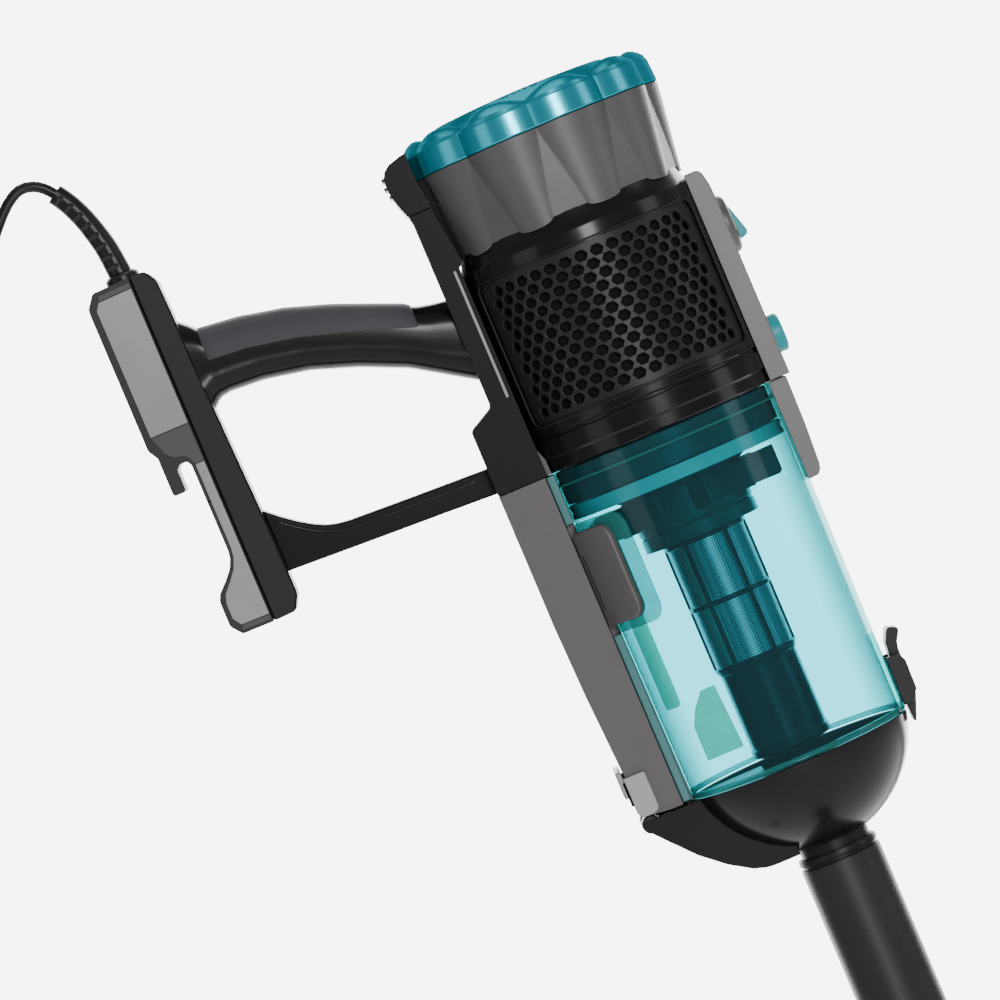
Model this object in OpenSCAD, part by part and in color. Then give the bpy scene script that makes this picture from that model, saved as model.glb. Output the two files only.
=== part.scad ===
// Upright corded vacuum cleaner: hand unit with a dust bin, on a wand and a floor head.
// Millimetres, +Z up, +X to the front. The origin is the middle of the footprint, on the floor.
// Each module is drawn about the wand's axis, which at_floor, at_bin and at_unit put in place.

/* [Wand] */
// Length of the wand tube
wand_len = 620; // [420:10:760]
// Outer radius of the wand tube
wand_r = 18.3; // [18:0.1:19]

/* [Floor head] */
// Width across the floor head
head_w = 250; // [220:5:300]
// Distance from the wand's axis to the front of the floor head
head_front = 80; // [76:1:95]
// Radius of the rear wheels with their tyres
wheel_r = 17; // [16:0.5:18]

/* [Dust bin] */
// Outer radius of the bin at its top edge
bin_r = 52.4; // [52:0.1:52.6]
// Wall of the transparent bin
bin_wall = 2.2; // [1.8:0.1:2.6]
// Height of the bin
bin_h = 154; // [150:1:170]

/* [Motor unit] */
// Outer radius of the motor housing
housing_r = 54.2; // [54:0.1:54.6]
// Petals round the cap and collar
petals = 10; // [8:1:12]
// Rows of holes in each side grille
grille_rows = 8; // [4:1:12]
// Columns of holes in each side grille
grille_cols = 10; // [4:1:14]

/* [Cord] */
// Diameter of the mains cord
cord_d = 5; // [4:0.5:6]

/* [Hidden] */
$fn = 96;
gap = 0.3;
swivel_z = 104;
foot_z = 130;
wand_top = foot_z + gap + wand_len;
bin_z = wand_top + 49;
unit_z = bin_z + bin_h + gap;
handle_reach = 208;
wand_x = (handle_reach - head_front) / 2;
pivot = [-25, 0, 42];
barrel_r = 20;
barrel_w = 60;
trunnion_r = 8;
wheel_x = -46;
wheel_w = 14;
wheel_y = head_w / 2 - 19;
axle_r = 3;
head_rear = -50;
housing_h = 99;
collar_h = 40;
cap_h = 20;
spine_w = 40;
duct_w = 38;
door_pin = [-70.5, 0, -2.2];
latch_pin_at = [56, 0, 14];
dome_r = 52.6;
dome_up = 10.3;
panel_w = 34;
button_at = [60.8, 0, 18];
rocker_at = [61, 0, 70];
coil_at = [-478, 92, 0];
coil_mid = 29;
coil_w = 25;
coil_t = 26;

// Outline points, as [x, z] from the bottom of the motor unit
housing_back = [
    [-204, 149.2], [-208, 143.7], [-208, 76], [-205.4, 72], [-205.4, 54.7], [-199.5, 54.7],
    [-199.5, 66.7], [-193, 66.7], [-193, 22], [-195, 17], [-199, 12.5], [-203.5, 8],
    [-205, 3], [-205, -6.3], [-201, -11.8], [-186.5, -11.8], [-186.5, 149.7]
];
housing_inner = [
    [-186.5, 149.7], [-179, 149.7], [-175.5, 143.7], [-175, 110], [-174, 66], [-172.5, 20],
    [-172.5, -4.3], [-176, -11.8], [-186.5, -11.8]
];
grip_top = [
    [-175.1, 125], [-170, 120.5], [-168, 118.4], [-150, 116.3], [-130, 112], [-110, 105.3],
    [-90, 97], [-76, 91], [-64, 89]
];
grip_foot = [
    [-64, 49], [-76, 57], [-90, 66], [-110, 75], [-130, 82], [-150, 86], [-165, 87],
    [-170, 86.3], [-174.3, 82]
];
cover_low = [
    [-76, 80], [-90, 85], [-110, 91.5], [-130, 97.5], [-150, 101.5], [-168, 103.2]
];
arm_outline = [
    [-172.5, 34], [-160, 23.7], [-150, 17.7], [-140, 15.7], [-76, 12.7], [-76, 1],
    [-172.5, 5.7]
];

// Points down the middle of the strain relief and then the cord, [x, y, z] from the unit's bottom
relief_points = [
    [-189.5, 0, 152.3], [-189.9, 0, 158], [-190.8, 0, 166], [-192.6, 0, 174],
    [-195, 0, 182], [-198.3, 0, 189.6], [-202.2, 0, 196]
];
cord_points = [
    [-202.2, 0, 196], [-205.6, 0, 200], [-210, 0, 202.8], [-216, 0, 203.5], [-223, 0, 199.8],
    [-231, 0, 192], [-241, 0, 180], [-252, 0, 164], [-266, 0, 140], [-284, 1, 104],
    [-304, 3, 60], [-324, 6, 14], [-344, 10, -36], [-362, 15, -86], [-376, 22, -134],
    [-388, 31, -190], [-398, 43, -250], [-406, 57, -314], [-412, 72, -384],
    [-417, 90, -460], [-420, 108, -540], [-423, 123, -620], [-425, 131, -690],
    [-427, 131, -760], [-429, 131, -830], [-432, 131, -880], [-436, 131, -914],
    [-443, 131, -934], [-453, 131, -944.5], [-465, 131, -949], [-476, 131, -949.6]
];
relief_r = [5.2, 5.1, 5, 4.9, 4.8, 4.7, 4.6];

// ---- helpers ----
module up(z) { translate([0, 0, z]) children(); }
module at_floor() { translate([wand_x, 0, 0]) children(); }
module at_bin() { translate([wand_x, 0, bin_z]) children(); }
module at_unit() { translate([wand_x, 0, unit_z]) children(); }
module ring(r, hole, z0, z1)
    up(z0) difference() {
        cylinder(r = r, h = z1 - z0);
        up(-1) cylinder(r = hole, h = z1 - z0 + 2);
    }
// An [x, z] outline made w wide across Y
module slab(points, w)
    rotate([90, 0, 0]) translate([0, 0, -w / 2]) linear_extrude(w) polygon(points);
module across(r, w)
    rotate([90, 0, 0]) cylinder(r = r, h = w, center = true);
module both() { children(); mirror([0, 1, 0]) children(); }
// A sector of a ring between two angles that are less than 180 degrees apart
module sector(r, hole, z0, z1, a0, a1)
    intersection() {
        ring(r, hole, z0, z1);
        up(z0 - 1) linear_extrude(z1 - z0 + 2)
            polygon([[0, 0], for (i = [0:4]) 2 * r * [cos(a0 + (a1 - a0) * i / 4), sin(a0 + (a1 - a0) * i / 4)]]);
    }
// A plan with round corners of radius r, between x0 and x1 and w wide
module rounded_plan(x0, x1, w, r) {
    translate([x0, -w / 2 + r]) square([x1 - x0, w - 2 * r]);
    translate([x0 + r, -w / 2]) square([x1 - x0 - 2 * r, w]);
    for (x = [x0 + r, x1 - r], y = [-w / 2 + r, w / 2 - r]) translate([x, y]) circle(r = r);
}
function unit(v) = v / norm(v);
function along(p, i) = unit(p[min(i + 1, len(p) - 1)] - p[max(i - 1, 0)]);
function side(t) = unit(cross(t, [0, 1, 0]));
// A closed tube swept along points, with a radius at each
module sweep(points, radii, sides) {
    n = len(points);
    rings = [for (i = [0:n - 1])
        let (t = along(points, i), u = side(t), v = cross(t, u))
        for (k = [0:sides - 1])
            points[i] + radii[i] * (cos(360 * k / sides) * u + sin(360 * k / sides) * v)];
    walls = [for (i = [0:n - 2], k = [0:sides - 1])
        let (a = i * sides + k, b = i * sides + (k + 1) % sides)
        [a, a + sides, b + sides, b]];
    first = [for (k = [0:sides - 1]) k];
    last = [for (k = [sides - 1:-1:0]) (n - 1) * sides + k];
    polyhedron(points = rings, faces = concat([first, last], walls), convexity = 10);
}
// Points of a smooth curve through the given ones, s steps between neighbours
function blend_at(a, b, c, d, t) =
    0.5 * (2 * b + (c - a) * t + (2 * a - 5 * b + 4 * c - d) * t * t
        + (3 * b - a - 3 * c + d) * t * t * t);
function smooth(p, s) = [
    for (i = [0:len(p) - 2], j = [0:s - 1])
        blend_at(p[max(i - 1, 0)], p[i], p[i + 1], p[min(i + 2, len(p) - 1)], j / s),
    p[len(p) - 1]
];

// ---- floor head ----
head_outline = [
    [head_rear, 7], [head_rear, 30], [-44, 44], [-30, 50], [10, 50], [42, 41],
    [head_front - 14, 27], [head_front - 2, 15], [head_front - 2, 7]
];
head_hollow = [
    [-20, 6], [-20, 46.5], [9, 46.5], [40, 38], [head_front - 17, 25],
    [head_front - 6, 13], [head_front - 6, 6]
];
screw_at = [[-12, head_w / 2 - 12], [head_front - 14, head_w / 2 - 22]];
module head_cover() color("#26272b") at_floor() {
    difference() {
        intersection() {
            slab(head_outline, head_w);
            linear_extrude(60) rounded_plan(head_rear, head_front - 2, head_w, 14);
        }
        intersection() {
            slab(head_hollow, head_w - 5);
            linear_extrude(60) rounded_plan(-60, head_front - 6, head_w - 6, 10);
        }
        translate([-60, -barrel_w / 2 - 12, 6]) cube([44, barrel_w + 24, 60]);
        translate([pivot.x, 0, pivot.z]) across(barrel_r + 1, barrel_w + 2 * gap);
        both() translate([wheel_x, wheel_y, wheel_r]) across(wheel_r + 1.5, wheel_w + 2);
        both() translate([wheel_x, wheel_y + 0.5, wheel_r]) across(axle_r, 24);
        translate([-60, -barrel_w / 2 - gap, 20]) cube([45, barrel_w + 2 * gap, 60]);
        translate([-20, -22, 43]) cube([24, 44, 20]);
    }
    both() difference() {
        translate([head_rear + 4, barrel_w / 2 + gap, 7]) cube([39, 12.7, 48]);
        translate([pivot.x, barrel_w / 2, pivot.z]) across(trunnion_r + 0.05, 40);
    }
    both() for (p = screw_at) translate([p.x, p.y, 7]) ring(5, 2, 0, 12);
}
module sole_plate() color("#1d1e20") at_floor() difference() {
    union() {
        up(3) linear_extrude(4) rounded_plan(head_rear, head_front - 2, head_w, 14);
        for (y = [-85, -30, 30, 85]) translate([head_front - 22, y - 11, 0]) cube([12, 22, 3.5]);
    }
    translate([18, -head_w / 2 + 30, -1]) cube([26, head_w - 60, 10]);
    both() translate([wheel_x - 30, wheel_y - wheel_w / 2 - 1, -1]) cube([30 + wheel_r + 1.5, wheel_w + 2, 20]);
    both() for (p = screw_at) translate([p.x, p.y, 0]) {
        cylinder(r = 2, h = 20);
        cylinder(r = 3.5, h = 4.5);
    }
    translate([pivot.x, 0, pivot.z]) across(barrel_r + 16, barrel_w + 2);
}
module bristle_strips() color("#111111") at_floor()
    for (x = [14, 44.5]) translate([x, -head_w / 2 + 32, 0.6]) cube([3.2, head_w - 64, 2.4]);
module bumper_strip() color("#4a4b4f") at_floor() up(9) difference() {
    linear_extrude(5) rounded_plan(0, head_front, head_w + 4, 16);
    up(-1) linear_extrude(7) rounded_plan(head_rear, head_front - 2, head_w, 14);
    translate([-10, -head_w, -1]) cube([26, 2 * head_w, 7]);
}
module wheel_axles() color("silver") at_floor() both()
    translate([wheel_x, wheel_y + 0.5, wheel_r]) across(axle_r, 24);
module head_screws() color("silver") at_floor() both()
    for (p = screw_at) translate([p.x, p.y, 3]) {
        cylinder(r = 2, h = 14);
        cylinder(r = 3.5, h = 1.5);
    }
module wheel() color("#3a3b3e") at_floor() translate([wheel_x, wheel_y, wheel_r]) difference() {
    across(wheel_r - 4, wheel_w);
    across(axle_r + 0.08, wheel_w + 2);
    for (a = [0:60:300]) rotate([0, a, 0]) translate([8, 0, 0]) across(2.2, wheel_w + 2);
}
module tyre() color("#151515") at_floor() translate([wheel_x, wheel_y, wheel_r]) difference() {
    across(wheel_r, wheel_w - 1);
    across(wheel_r - 4, wheel_w + 2);
}

// ---- neck ----
lean = atan2(-pivot.x, 92 - pivot.z);
slant = norm([pivot.x, 92 - pivot.z]);
module neck_line(r) {
    translate([pivot.x, 0, pivot.z]) rotate([0, lean, 0]) cylinder(r = r, h = slant);
    up(92) sphere(r = r + 0.8);
}
module neck_duct() color("#2b2c30") at_floor() difference() {
    union() {
        translate([pivot.x, 0, pivot.z]) across(barrel_r, barrel_w);
        translate([pivot.x, 0, pivot.z]) across(trunnion_r, barrel_w + 22);
        neck_line(19);
        up(90) cylinder(r = 20.5, h = swivel_z - 90);
        up(swivel_z - 1) cylinder(r = 17, h = 15);
    }
    translate([pivot.x, 0, pivot.z]) across(barrel_r - 3.5, barrel_w - 8);
    neck_line(14.5);
    up(91) cylinder(r = 14.5, h = 40);
    translate([pivot.x - 8, -20, pivot.z - barrel_r - 2]) cube([30, 40, 14]);
}
module swivel_collar() color("#1c1c1f") at_floor() difference() {
    union() {
        up(swivel_z + gap) cylinder(r = 21, h = foot_z - swivel_z - gap);
        up(foot_z - 1) cylinder(r = 16.6, h = 42);
    }
    up(swivel_z) cylinder(r = 17.05, h = 14.5);
    up(swivel_z) cylinder(r = 14.5, h = 90);
    translate([15.6, -5.3, 118.7]) cube([10, 10.6, 8.6]);
}
module wand_button() color("#4a4b4f") at_floor() translate([18.2, -5, 119]) {
    cube([3, 10, 8]);
    translate([3, 1, 1]) cube([2.5, 8, 6]);
}

// ---- wand ----
module wand_tube() color("#2e3032") at_floor() ring(wand_r, wand_r - 1.5, foot_z + gap, wand_top);
module wand_collar() color("#141416") at_floor() {
    ring(wand_r - 0.2, 16.3, wand_top, wand_top + 5.2);
    ring(wand_r - 1.1, 16.3, wand_top + 1, wand_top + 4);
}

// ---- bottom door ----
fin_outline = [
    [-73.4, -0.5], [-73.4, -3.4], [-66, -12.5], [-57, -22.5], [-47, -31], [-37.5, -37],
    [-30, -39.3], [-10, -39.3], [-10, -0.5]
];
fin_hollow = [
    [-66, -4], [-64, -10], [-55, -20], [-45.5, -28.5], [-36, -34.3], [-29, -36.8],
    [-12, -36.8], [-12, -4]
];
module dome_door() color("#141210") at_bin() difference() {
    union() {
        difference() {
            up(dome_up) sphere(r = dome_r);
            up(-0.5) cylinder(r = 80, h = 80);
            up(-100) cylinder(r = 80, h = 60.5);
        }
        slab(fin_outline, spine_w + 2);
        both() translate([door_pin.x, 12.8, door_pin.z]) across(4.2, 12.6);
    }
    difference() {
        up(dome_up) sphere(r = dome_r - 2.4);
        up(-4) cylinder(r = 80, h = 80);
        up(-100) cylinder(r = 80, h = 63.2);
    }
    slab(fin_hollow, spine_w - 3);
    translate([-63.6, -15, -6]) cube([8, 30, 10]);
    up(-50) cylinder(r = 16, h = 20);
    ring(48, 45, -2, 1);
    translate([door_pin.x, 0, door_pin.z]) across(1.65, 60);
    translate([-80, -6.4, -8]) cube([14.6, 12.8, 12]);
}
module door_spigot() color("#17171a") at_bin() ring(16, 14, -75, -36.5);
module door_gasket() color("#3a3b3e") at_bin() ring(47.9, 45.1, -2, -0.3);

// ---- dust bin ----
function shell_r(z) = 51 + (bin_r - 51) * z / bin_h;
module shell_cone(inset)
    up(-1) cylinder(r1 = shell_r(-1) - inset, r2 = shell_r(bin_h + 1) - inset, h = bin_h + 2);
module bin_shell() color("#3fb8b8", 0.35) at_bin() difference() {
    cylinder(r1 = 51, r2 = bin_r, h = bin_h);
    shell_cone(bin_wall);
    rotate(209) translate([40, -4, 90]) cube([20, 8, 30]);
}
duct_outline = [
    [-76, bin_h], [-76, 90], [-72.6, 6], [-71.8, 3], [-60, 0.4], [-44, 0.4], [-44, bin_h]
];
module duct_panel() color("#5a5556") at_bin() {
    difference() {
        slab(duct_outline, duct_w);
        cylinder(r = bin_r + 0.2, h = bin_h + 2);
        translate([-69, -duct_w / 2 + 2.5, -1]) cube([13.5, duct_w - 5, 136]);
        translate([-56.5, -duct_w / 2 - 1, 92]) cube([1.2, 2, 26]);
        translate([-69, -duct_w / 2 - 5, 92]) cube([13.5, 12, 26]);
    }
    difference() {
        union() {
            translate([door_pin.x, 0, door_pin.z]) across(4, 12);
            translate([-74.5, -6, -2.2]) cube([8, 12, 8]);
        }
        translate([door_pin.x, 0, door_pin.z]) across(1.6, 14);
        translate([-69, -10, 0]) cube([20, 20, 12]);
    }
}
module inlet_cover() color("#5a5556") at_bin() {
    difference() {
        sector(57.6, 54.1, 84, 127, 200, 227);
        translate([-80, -duct_w / 2, 0]) cube([80, duct_w, bin_h]);
    }
    translate([-69.5, -duct_w / 2 - 3, 86]) cube([17.5, 3, 39]);
}
module inlet_frame() color("#2fa8a4", 0.6) at_bin() difference() {
    sector(54, bin_r + 0.25, 80, 131, 202, 238);
    translate([-80, -duct_w / 2 - 0.1, 0]) cube([80, duct_w, bin_h]);
}
module inlet_duct() color("#25c0b0") at_bin() difference() {
    sector(48.6, 46.6, 40, 128, 198, 214);
    rotate(209) translate([40, -3, 92]) cube([20, 6, 26]);
}
lug_outline = [
    [44, bin_h], [58.8, bin_h], [58.6, 128], [57.6, 113], [55.5, 108.8], [44, 108.8]
];
module bin_lug() color("#6a6866") at_bin() difference() {
    slab(lug_outline, 28);
    cylinder(r = bin_r + 0.15, h = bin_h + 2);
}
module hinge_bracket() color("#a5a5a3") at_bin() {
    both() translate([-74.5, duct_w / 2, 3.2]) cube([10, 2.4, 17.4]);
    translate([-76.9, -duct_w / 2 - 2.4, 3.2]) cube([2.4, duct_w + 4.8, 17.4]);
}
module hinge_pin() color("silver") at_bin()
    translate([door_pin.x, 0, door_pin.z]) across(1.6, 39);
module latch_bracket() color("#17171a") at_bin() difference() {
    both() translate([44, 9.5, 8]) cube([15, 2.6, 12]);
    cylinder(r = bin_r - 1.2, h = 60);
    translate([latch_pin_at.x, 0, latch_pin_at.z]) across(1.5, 40);
}
module latch_pin() color("silver") at_bin()
    translate([latch_pin_at.x, 0, latch_pin_at.z]) across(1.5, 24.2);
lever_outline = [
    [52.2, -6.5], [53.2, -6.5], [58.3, 4.7], [58.3, 26], [61.8, 32.6], [59, 35.6],
    [55, 28.5], [54.7, 24], [52.2, 8]
];
module latch_lever() color("#1b1a1a") at_bin() difference() {
    slab(lever_outline, 18.2);
    translate([latch_pin_at.x, 0, latch_pin_at.z]) across(1.56, 30);
}
baffle_outline = [[-37.5, 14], [-37.5, 30], [-28, 44], [-22, 44], [-20.5, 12]];
module dust_baffle() color("#58c0a8") at_bin() intersection() {
    translate([0, -30.5, 0]) slab(baffle_outline, 1.8);
    cylinder(r = 48.7, h = 60);
}
module cyclone_body() color("#1b2328") at_bin() {
    difference() {
        union() {
            up(138) cylinder(r = 49.7, h = 15.7);
            up(128) cylinder(r1 = 26.5, r2 = 44.8, h = 10);
            up(105.3) cylinder(r = 26.5, h = 22.7);
        }
        up(104) cylinder(r = 15, h = 60);
        up(148) cylinder(r = 42, h = 10);
    }
}
module mesh_screen() color("#c9ccd0") at_bin() difference() {
    ring(18.4, 17.4, 45.2, 105.3);
    for (a = [0:45:315]) rotate(a) translate([10, -5, 50]) cube([20, 10, 50]);
}
module inner_tube() color("#15181c") at_bin() {
    ring(18.4, 16.4, 4, 45.2);
    up(4) cylinder(r = 17, h = 2);
}
module seal_ring() color("#19c3cc") at_bin() ring(49.7, 44.9, 131.5, 138);

// ---- motor unit ----
window_z = 21.5;
window_h = 64;
hole_pitch = (window_h - 4) / grille_rows;
hole_turn = 108 / grille_cols;
module side_window(wide, z0, z1)
    translate([-wide / 2, -80, z0]) cube([wide, 80, z1 - z0]);
module motor_housing() color("#17140f") at_unit() difference() {
    union() {
        ring(housing_r, housing_r - 2.6, 0, housing_h);
        ring(housing_r - 1, 22.3, 87, 90);
        ring(housing_r - 1, 43, 14, 16);
    }
    both() side_window(97, window_z, window_z + window_h);
}
module grille_left() color("#1a1715") at_unit() difference() {
    intersection() {
        ring(housing_r - 0.5, housing_r - 2.4, window_z, window_z + window_h);
        side_window(97, 0, 100);
    }
    for (row = [0:grille_rows - 1], col = [0:grille_cols - 1])
        let (turn = hole_turn * (col - (grille_cols - 1) / 2 + (row % 2) / 2 - 0.25))
            rotate(-90 + turn) translate([46, 0, window_z + 2 + hole_pitch * (row + 0.5)])
                rotate([0, 90, 0]) rotate(90) cylinder(r = 0.53 * hole_pitch, h = 14, $fn = 6);
}
module grille_right() mirror([0, 1, 0]) grille_left();
// One petal's plan: a round outer edge at radius r, and straight sides to just past the axis
function petal(r, half, bulge) = [
    [-3, 0],
    for (i = [-4:4])
        let (a = half * i / 4, edge = r - bulge * pow(i / 4, 2))
        edge * [cos(a), sin(a)]
];
petal_half = 180 / petals + 0.3;
module petal_slice(r, half, bulge, z) up(z) linear_extrude(0.02) polygon(petal(r, half, bulge));
module petal_ring() for (p = [0:petals - 1]) rotate(-90 + 360 / petals * (p + 0.5)) children();
module petal_collar() color("#6b6663") at_unit() difference() {
    petal_ring() hull() {
        petal_slice(58, petal_half, 3.2, housing_h + collar_h - 0.02);
        petal_slice(52.4, 9, 0.4, housing_h);
        petal_slice(50, petal_half, 0.2, housing_h);
    }
    up(housing_h - 1) cylinder(r = 47, h = collar_h + 2);
}
module top_cap() color("#1a8aa0") at_unit() up(housing_h + collar_h + 0.2) difference() {
    petal_ring() hull() {
        petal_slice(58.2, petal_half, 3.2, 0);
        petal_slice(58, petal_half, 3.2, 10.5);
        petal_slice(54.5, petal_half, 3, 15.5);
        petal_slice(44, petal_half, 2, 18.2);
        petal_slice(24, petal_half, 0.6, cap_h - 0.5);
    }
    up(-1) cylinder(r = 47, h = cap_h - 7);
}
spine_outline = [
    [-40, 0], [-76, 0], [-76, 30], [-64, 37], [-64, 122], [-64.8, 126], [-40, 126]
];
module clear_of_unit() {
    cylinder(r = housing_r + 0.1, h = housing_h + 1);
    up(housing_h - 0.5) cylinder(r1 = 53, r2 = 59.4, h = collar_h + 0.5);
    up(housing_h + collar_h - 0.1) cylinder(r = 59.4, h = 30);
}
module rear_spine() color("#100e0e") at_unit() difference() {
    slab(spine_outline, spine_w);
    clear_of_unit();
    translate([-72, -spine_w / 2 + 4, 3]) cube([10, spine_w - 8, 24]);
    translate([-67, -20, 56]) cube([1, 40, 26]);
}
cover_outline = [
    [-50, 126.2], [-64.9, 126.2], [-68, 136], [-68.4, 145], [-64, 150], [-50, 152.5]
];
module spine_cover() color("#1a1919") at_unit() difference() {
    slab(cover_outline, spine_w + 6);
    clear_of_unit();
    for (z = [137.5, 141, 144.5]) translate([-75, -40, z]) cube([8, 80, 1.1]);
}

// ---- handle ----
module grip_core() color("#141416") at_unit() {
    slab(concat([for (p = grip_top) p - [0, p.x > -169 ? 2.4 : 0]], grip_foot), 25);
    slab(concat([[-64, 76]], cover_low, [[-169.5, 103.2], [-174.8, 103.2]],
        [for (i = [len(grip_foot) - 1:-1:0]) grip_foot[i]]), 30);
}
module grip_cover() color("#4a4b4f") at_unit() difference() {
    slab(concat([for (p = grip_top) if (p.x > -169 && p.x < -70) p], cover_low), 30.6);
    slab(concat([for (p = grip_top) p - [0, p.x > -169 ? 2.4 : 0]], [[-64, 60], [-175, 60]]), 25);
}
module lower_arm() color("#1c1c1f") at_unit() slab(arm_outline, 20);
module handle_housing() color("#8a8c8c") at_unit() difference() {
    union() {
        slab(housing_back, 24);
        slab([for (p = housing_back) [
            p.x < -201 ? p.x + 3 : p.x,
            p.y > 140 ? p.y - 3 : (p.y < 0 ? p.y + 3 : p.y)]], 30);
    }
    translate([-202, -11, 80]) cube([16, 22, 58]);
    translate([-190.5, -11, 0]) cube([5, 22, 70]);
    translate([-189.5, 0, 120]) cylinder(r = 4, h = 40);
}
module handle_inner() color("#17171a") at_unit() difference() {
    slab(housing_inner, 28);
    translate([-187, -11, 2]) cube([9, 22, 136]);
    translate([-189.5, 0, 120]) cylinder(r = 4, h = 40);
}

// ---- front ----
panel_outline = [[44, 0], [61, 0], [61, 84], [59.5, 95], [57.5, 96.5], [44, 96.5]];
module front_panel() color("#6b6866") at_unit() difference() {
    slab(panel_outline, panel_w);
    cylinder(r = housing_r + 0.2, h = 120);
    translate([56.6, 0, button_at.z]) rotate([0, 90, 0]) cylinder(r = 9, h = 10);
    translate([55.5, -6.6, rocker_at.z - 9.6]) cube([10, 13.2, 19.2]);
}
module rocker_bezel() color("#8f8d8a") at_unit() translate(rocker_at) difference() {
    rotate([0, 90, 0]) cylinder(r = 13.1, h = 3.6);
    translate([-1, -6.6, -9.6]) cube([10, 13.2, 19.2]);
}
rocker_outline = [[57.4, 76.5], [57.4, 63.5], [62, 61.4], [68.6, 63.4], [64.6, 78.6], [61, 79]];
module power_rocker() color("#1a8aa0") at_unit() {
    slab(rocker_outline, 12.4);
    translate([60, 0, rocker_at.z]) across(1.2, 13);
}
module bin_button() color("#1a8aa0") at_unit() translate([60.9, 0, button_at.z])
    rotate([0, 90, 0]) {
        up(-0.2) cylinder(r = 8.65, h = 4.2);
        up(4) cylinder(r1 = 8.65, r2 = 6.6, h = 1.4);
    }
module button_spring() color("silver") at_unit() translate([56.7, 0, button_at.z])
    rotate([0, 90, 0]) ring(5, 3.8, 0, 0.8);

// ---- inside the motor unit ----
module pre_filter() color("#9fb3b8") at_unit() ring(40, 10, 1, 9);
module fan_shroud() color("#2a2a2d") at_unit() difference() {
    union() {
        ring(42.5, 40.6, 16.2, 38);
        ring(42.5, 20, 36, 38);
    }
    for (a = [0:30:330]) rotate(a) translate([38, -3, 20]) cube([8, 6, 12]);
}
module motor_stator() color("#7d8186") at_unit() difference() {
    ring(30, 17.5, 38, 84);
    for (a = [0:60:300]) rotate(a) translate([26, 0, 37]) cylinder(r = 2.4, h = 50);
}
module motor_shaft() color("silver") at_unit() {
    up(18) cylinder(r = 4, h = 68);
    up(40) cylinder(r = 16.6, h = 34);
    up(76) cylinder(r = 10, h = 8);
}
module impeller() color("#b9bcc0") at_unit() {
    ring(39.6, 4, 21.5, 23);
    ring(39.6, 16, 32, 33.4);
    ring(9, 4, 23, 33.4);
    for (a = [0:40:320]) rotate(a) translate([8, -0.7, 23]) cube([31, 1.4, 9]);
}

// ---- cord ----
module strain_relief() color("#131313") at_unit() {
    translate([-189.5, 0, 149.7]) cylinder(r = 7.4, h = 2.6);
    sweep(relief_points, relief_r, 12);
}
module power_cord() color("#1a1a1a") at_unit() {
    line = smooth(cord_points, 2);
    sweep(line, [for (p = line) cord_d / 2], 8);
}
module cord_coil() color("#1a1a1a") at_floor() translate([coil_at.x, coil_at.y, 0])
    rotate_extrude() translate([coil_mid - coil_w / 2, 0]) square([coil_w, coil_t]);
module plug() color("#141414") at_floor() translate([coil_at.x, coil_at.y, coil_t]) {
    translate([-6, -35, 0.1]) cube([32, 30, 17]);
    for (y = [-29.5, -10.5]) translate([26, y, 8.6]) rotate([0, 90, 0]) cylinder(r = 2.4, h = 19);
}

head_cover();
sole_plate();
bristle_strips();
bumper_strip();
wheel_axles();
head_screws();
wheel();  // wheel_left
mirror([0, 1, 0]) wheel();  // wheel_right
tyre();  // tyre_left
mirror([0, 1, 0]) tyre();  // tyre_right
neck_duct();
swivel_collar();
wand_button();
wand_tube();
wand_collar();
dome_door();
door_spigot();
door_gasket();
bin_shell();
duct_panel();
inlet_cover();
inlet_frame();
inlet_duct();
bin_lug();
hinge_bracket();
hinge_pin();
latch_bracket();
latch_pin();
latch_lever();
dust_baffle();
cyclone_body();
mesh_screen();
inner_tube();
seal_ring();
motor_housing();
grille_left();
grille_right();
petal_collar();
top_cap();
rear_spine();
spine_cover();
grip_core();
grip_cover();
lower_arm();
handle_housing();
handle_inner();
front_panel();
rocker_bezel();
power_rocker();
bin_button();
button_spring();
pre_filter();
fan_shroud();
motor_stator();
motor_shaft();
impeller();
strain_relief();
power_cord();
cord_coil();
plug();
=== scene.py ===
"""The looks of the upright corded vacuum cleaner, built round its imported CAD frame."""
from math import asin, copysign, cos, pi, radians, sin, sqrt

import bmesh
import bpy
from mathutils import Matrix, Vector


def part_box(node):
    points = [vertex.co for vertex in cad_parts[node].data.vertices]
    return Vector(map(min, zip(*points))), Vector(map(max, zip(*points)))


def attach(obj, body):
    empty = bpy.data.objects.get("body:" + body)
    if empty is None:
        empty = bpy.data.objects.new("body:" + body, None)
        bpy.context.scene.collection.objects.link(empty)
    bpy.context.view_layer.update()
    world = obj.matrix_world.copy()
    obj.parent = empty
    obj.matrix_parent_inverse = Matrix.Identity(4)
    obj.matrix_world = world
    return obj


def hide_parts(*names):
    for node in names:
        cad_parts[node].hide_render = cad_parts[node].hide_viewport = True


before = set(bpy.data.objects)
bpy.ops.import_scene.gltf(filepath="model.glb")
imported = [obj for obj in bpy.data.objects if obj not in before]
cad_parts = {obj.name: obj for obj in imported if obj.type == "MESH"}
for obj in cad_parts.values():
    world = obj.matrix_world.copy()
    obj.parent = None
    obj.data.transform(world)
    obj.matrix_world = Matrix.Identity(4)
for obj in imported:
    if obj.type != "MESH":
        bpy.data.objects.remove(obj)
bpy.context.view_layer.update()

MM = 0.001
FULL = 2 * pi
wand_lo, wand_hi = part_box("wand_tube")
AXIS = (wand_lo.x + wand_hi.x) / 2          # the wand's axis, in metres along X
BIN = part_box("bin_shell")[0].z              # the bin's bottom edge
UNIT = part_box("motor_housing")[0].z         # the motor unit's bottom edge


def at(x, y, z, base):
    """A point given in millimetres from the wand's axis and a base height, in metres."""
    return Vector((AXIS + x * MM, y * MM, base + z * MM))


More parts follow.
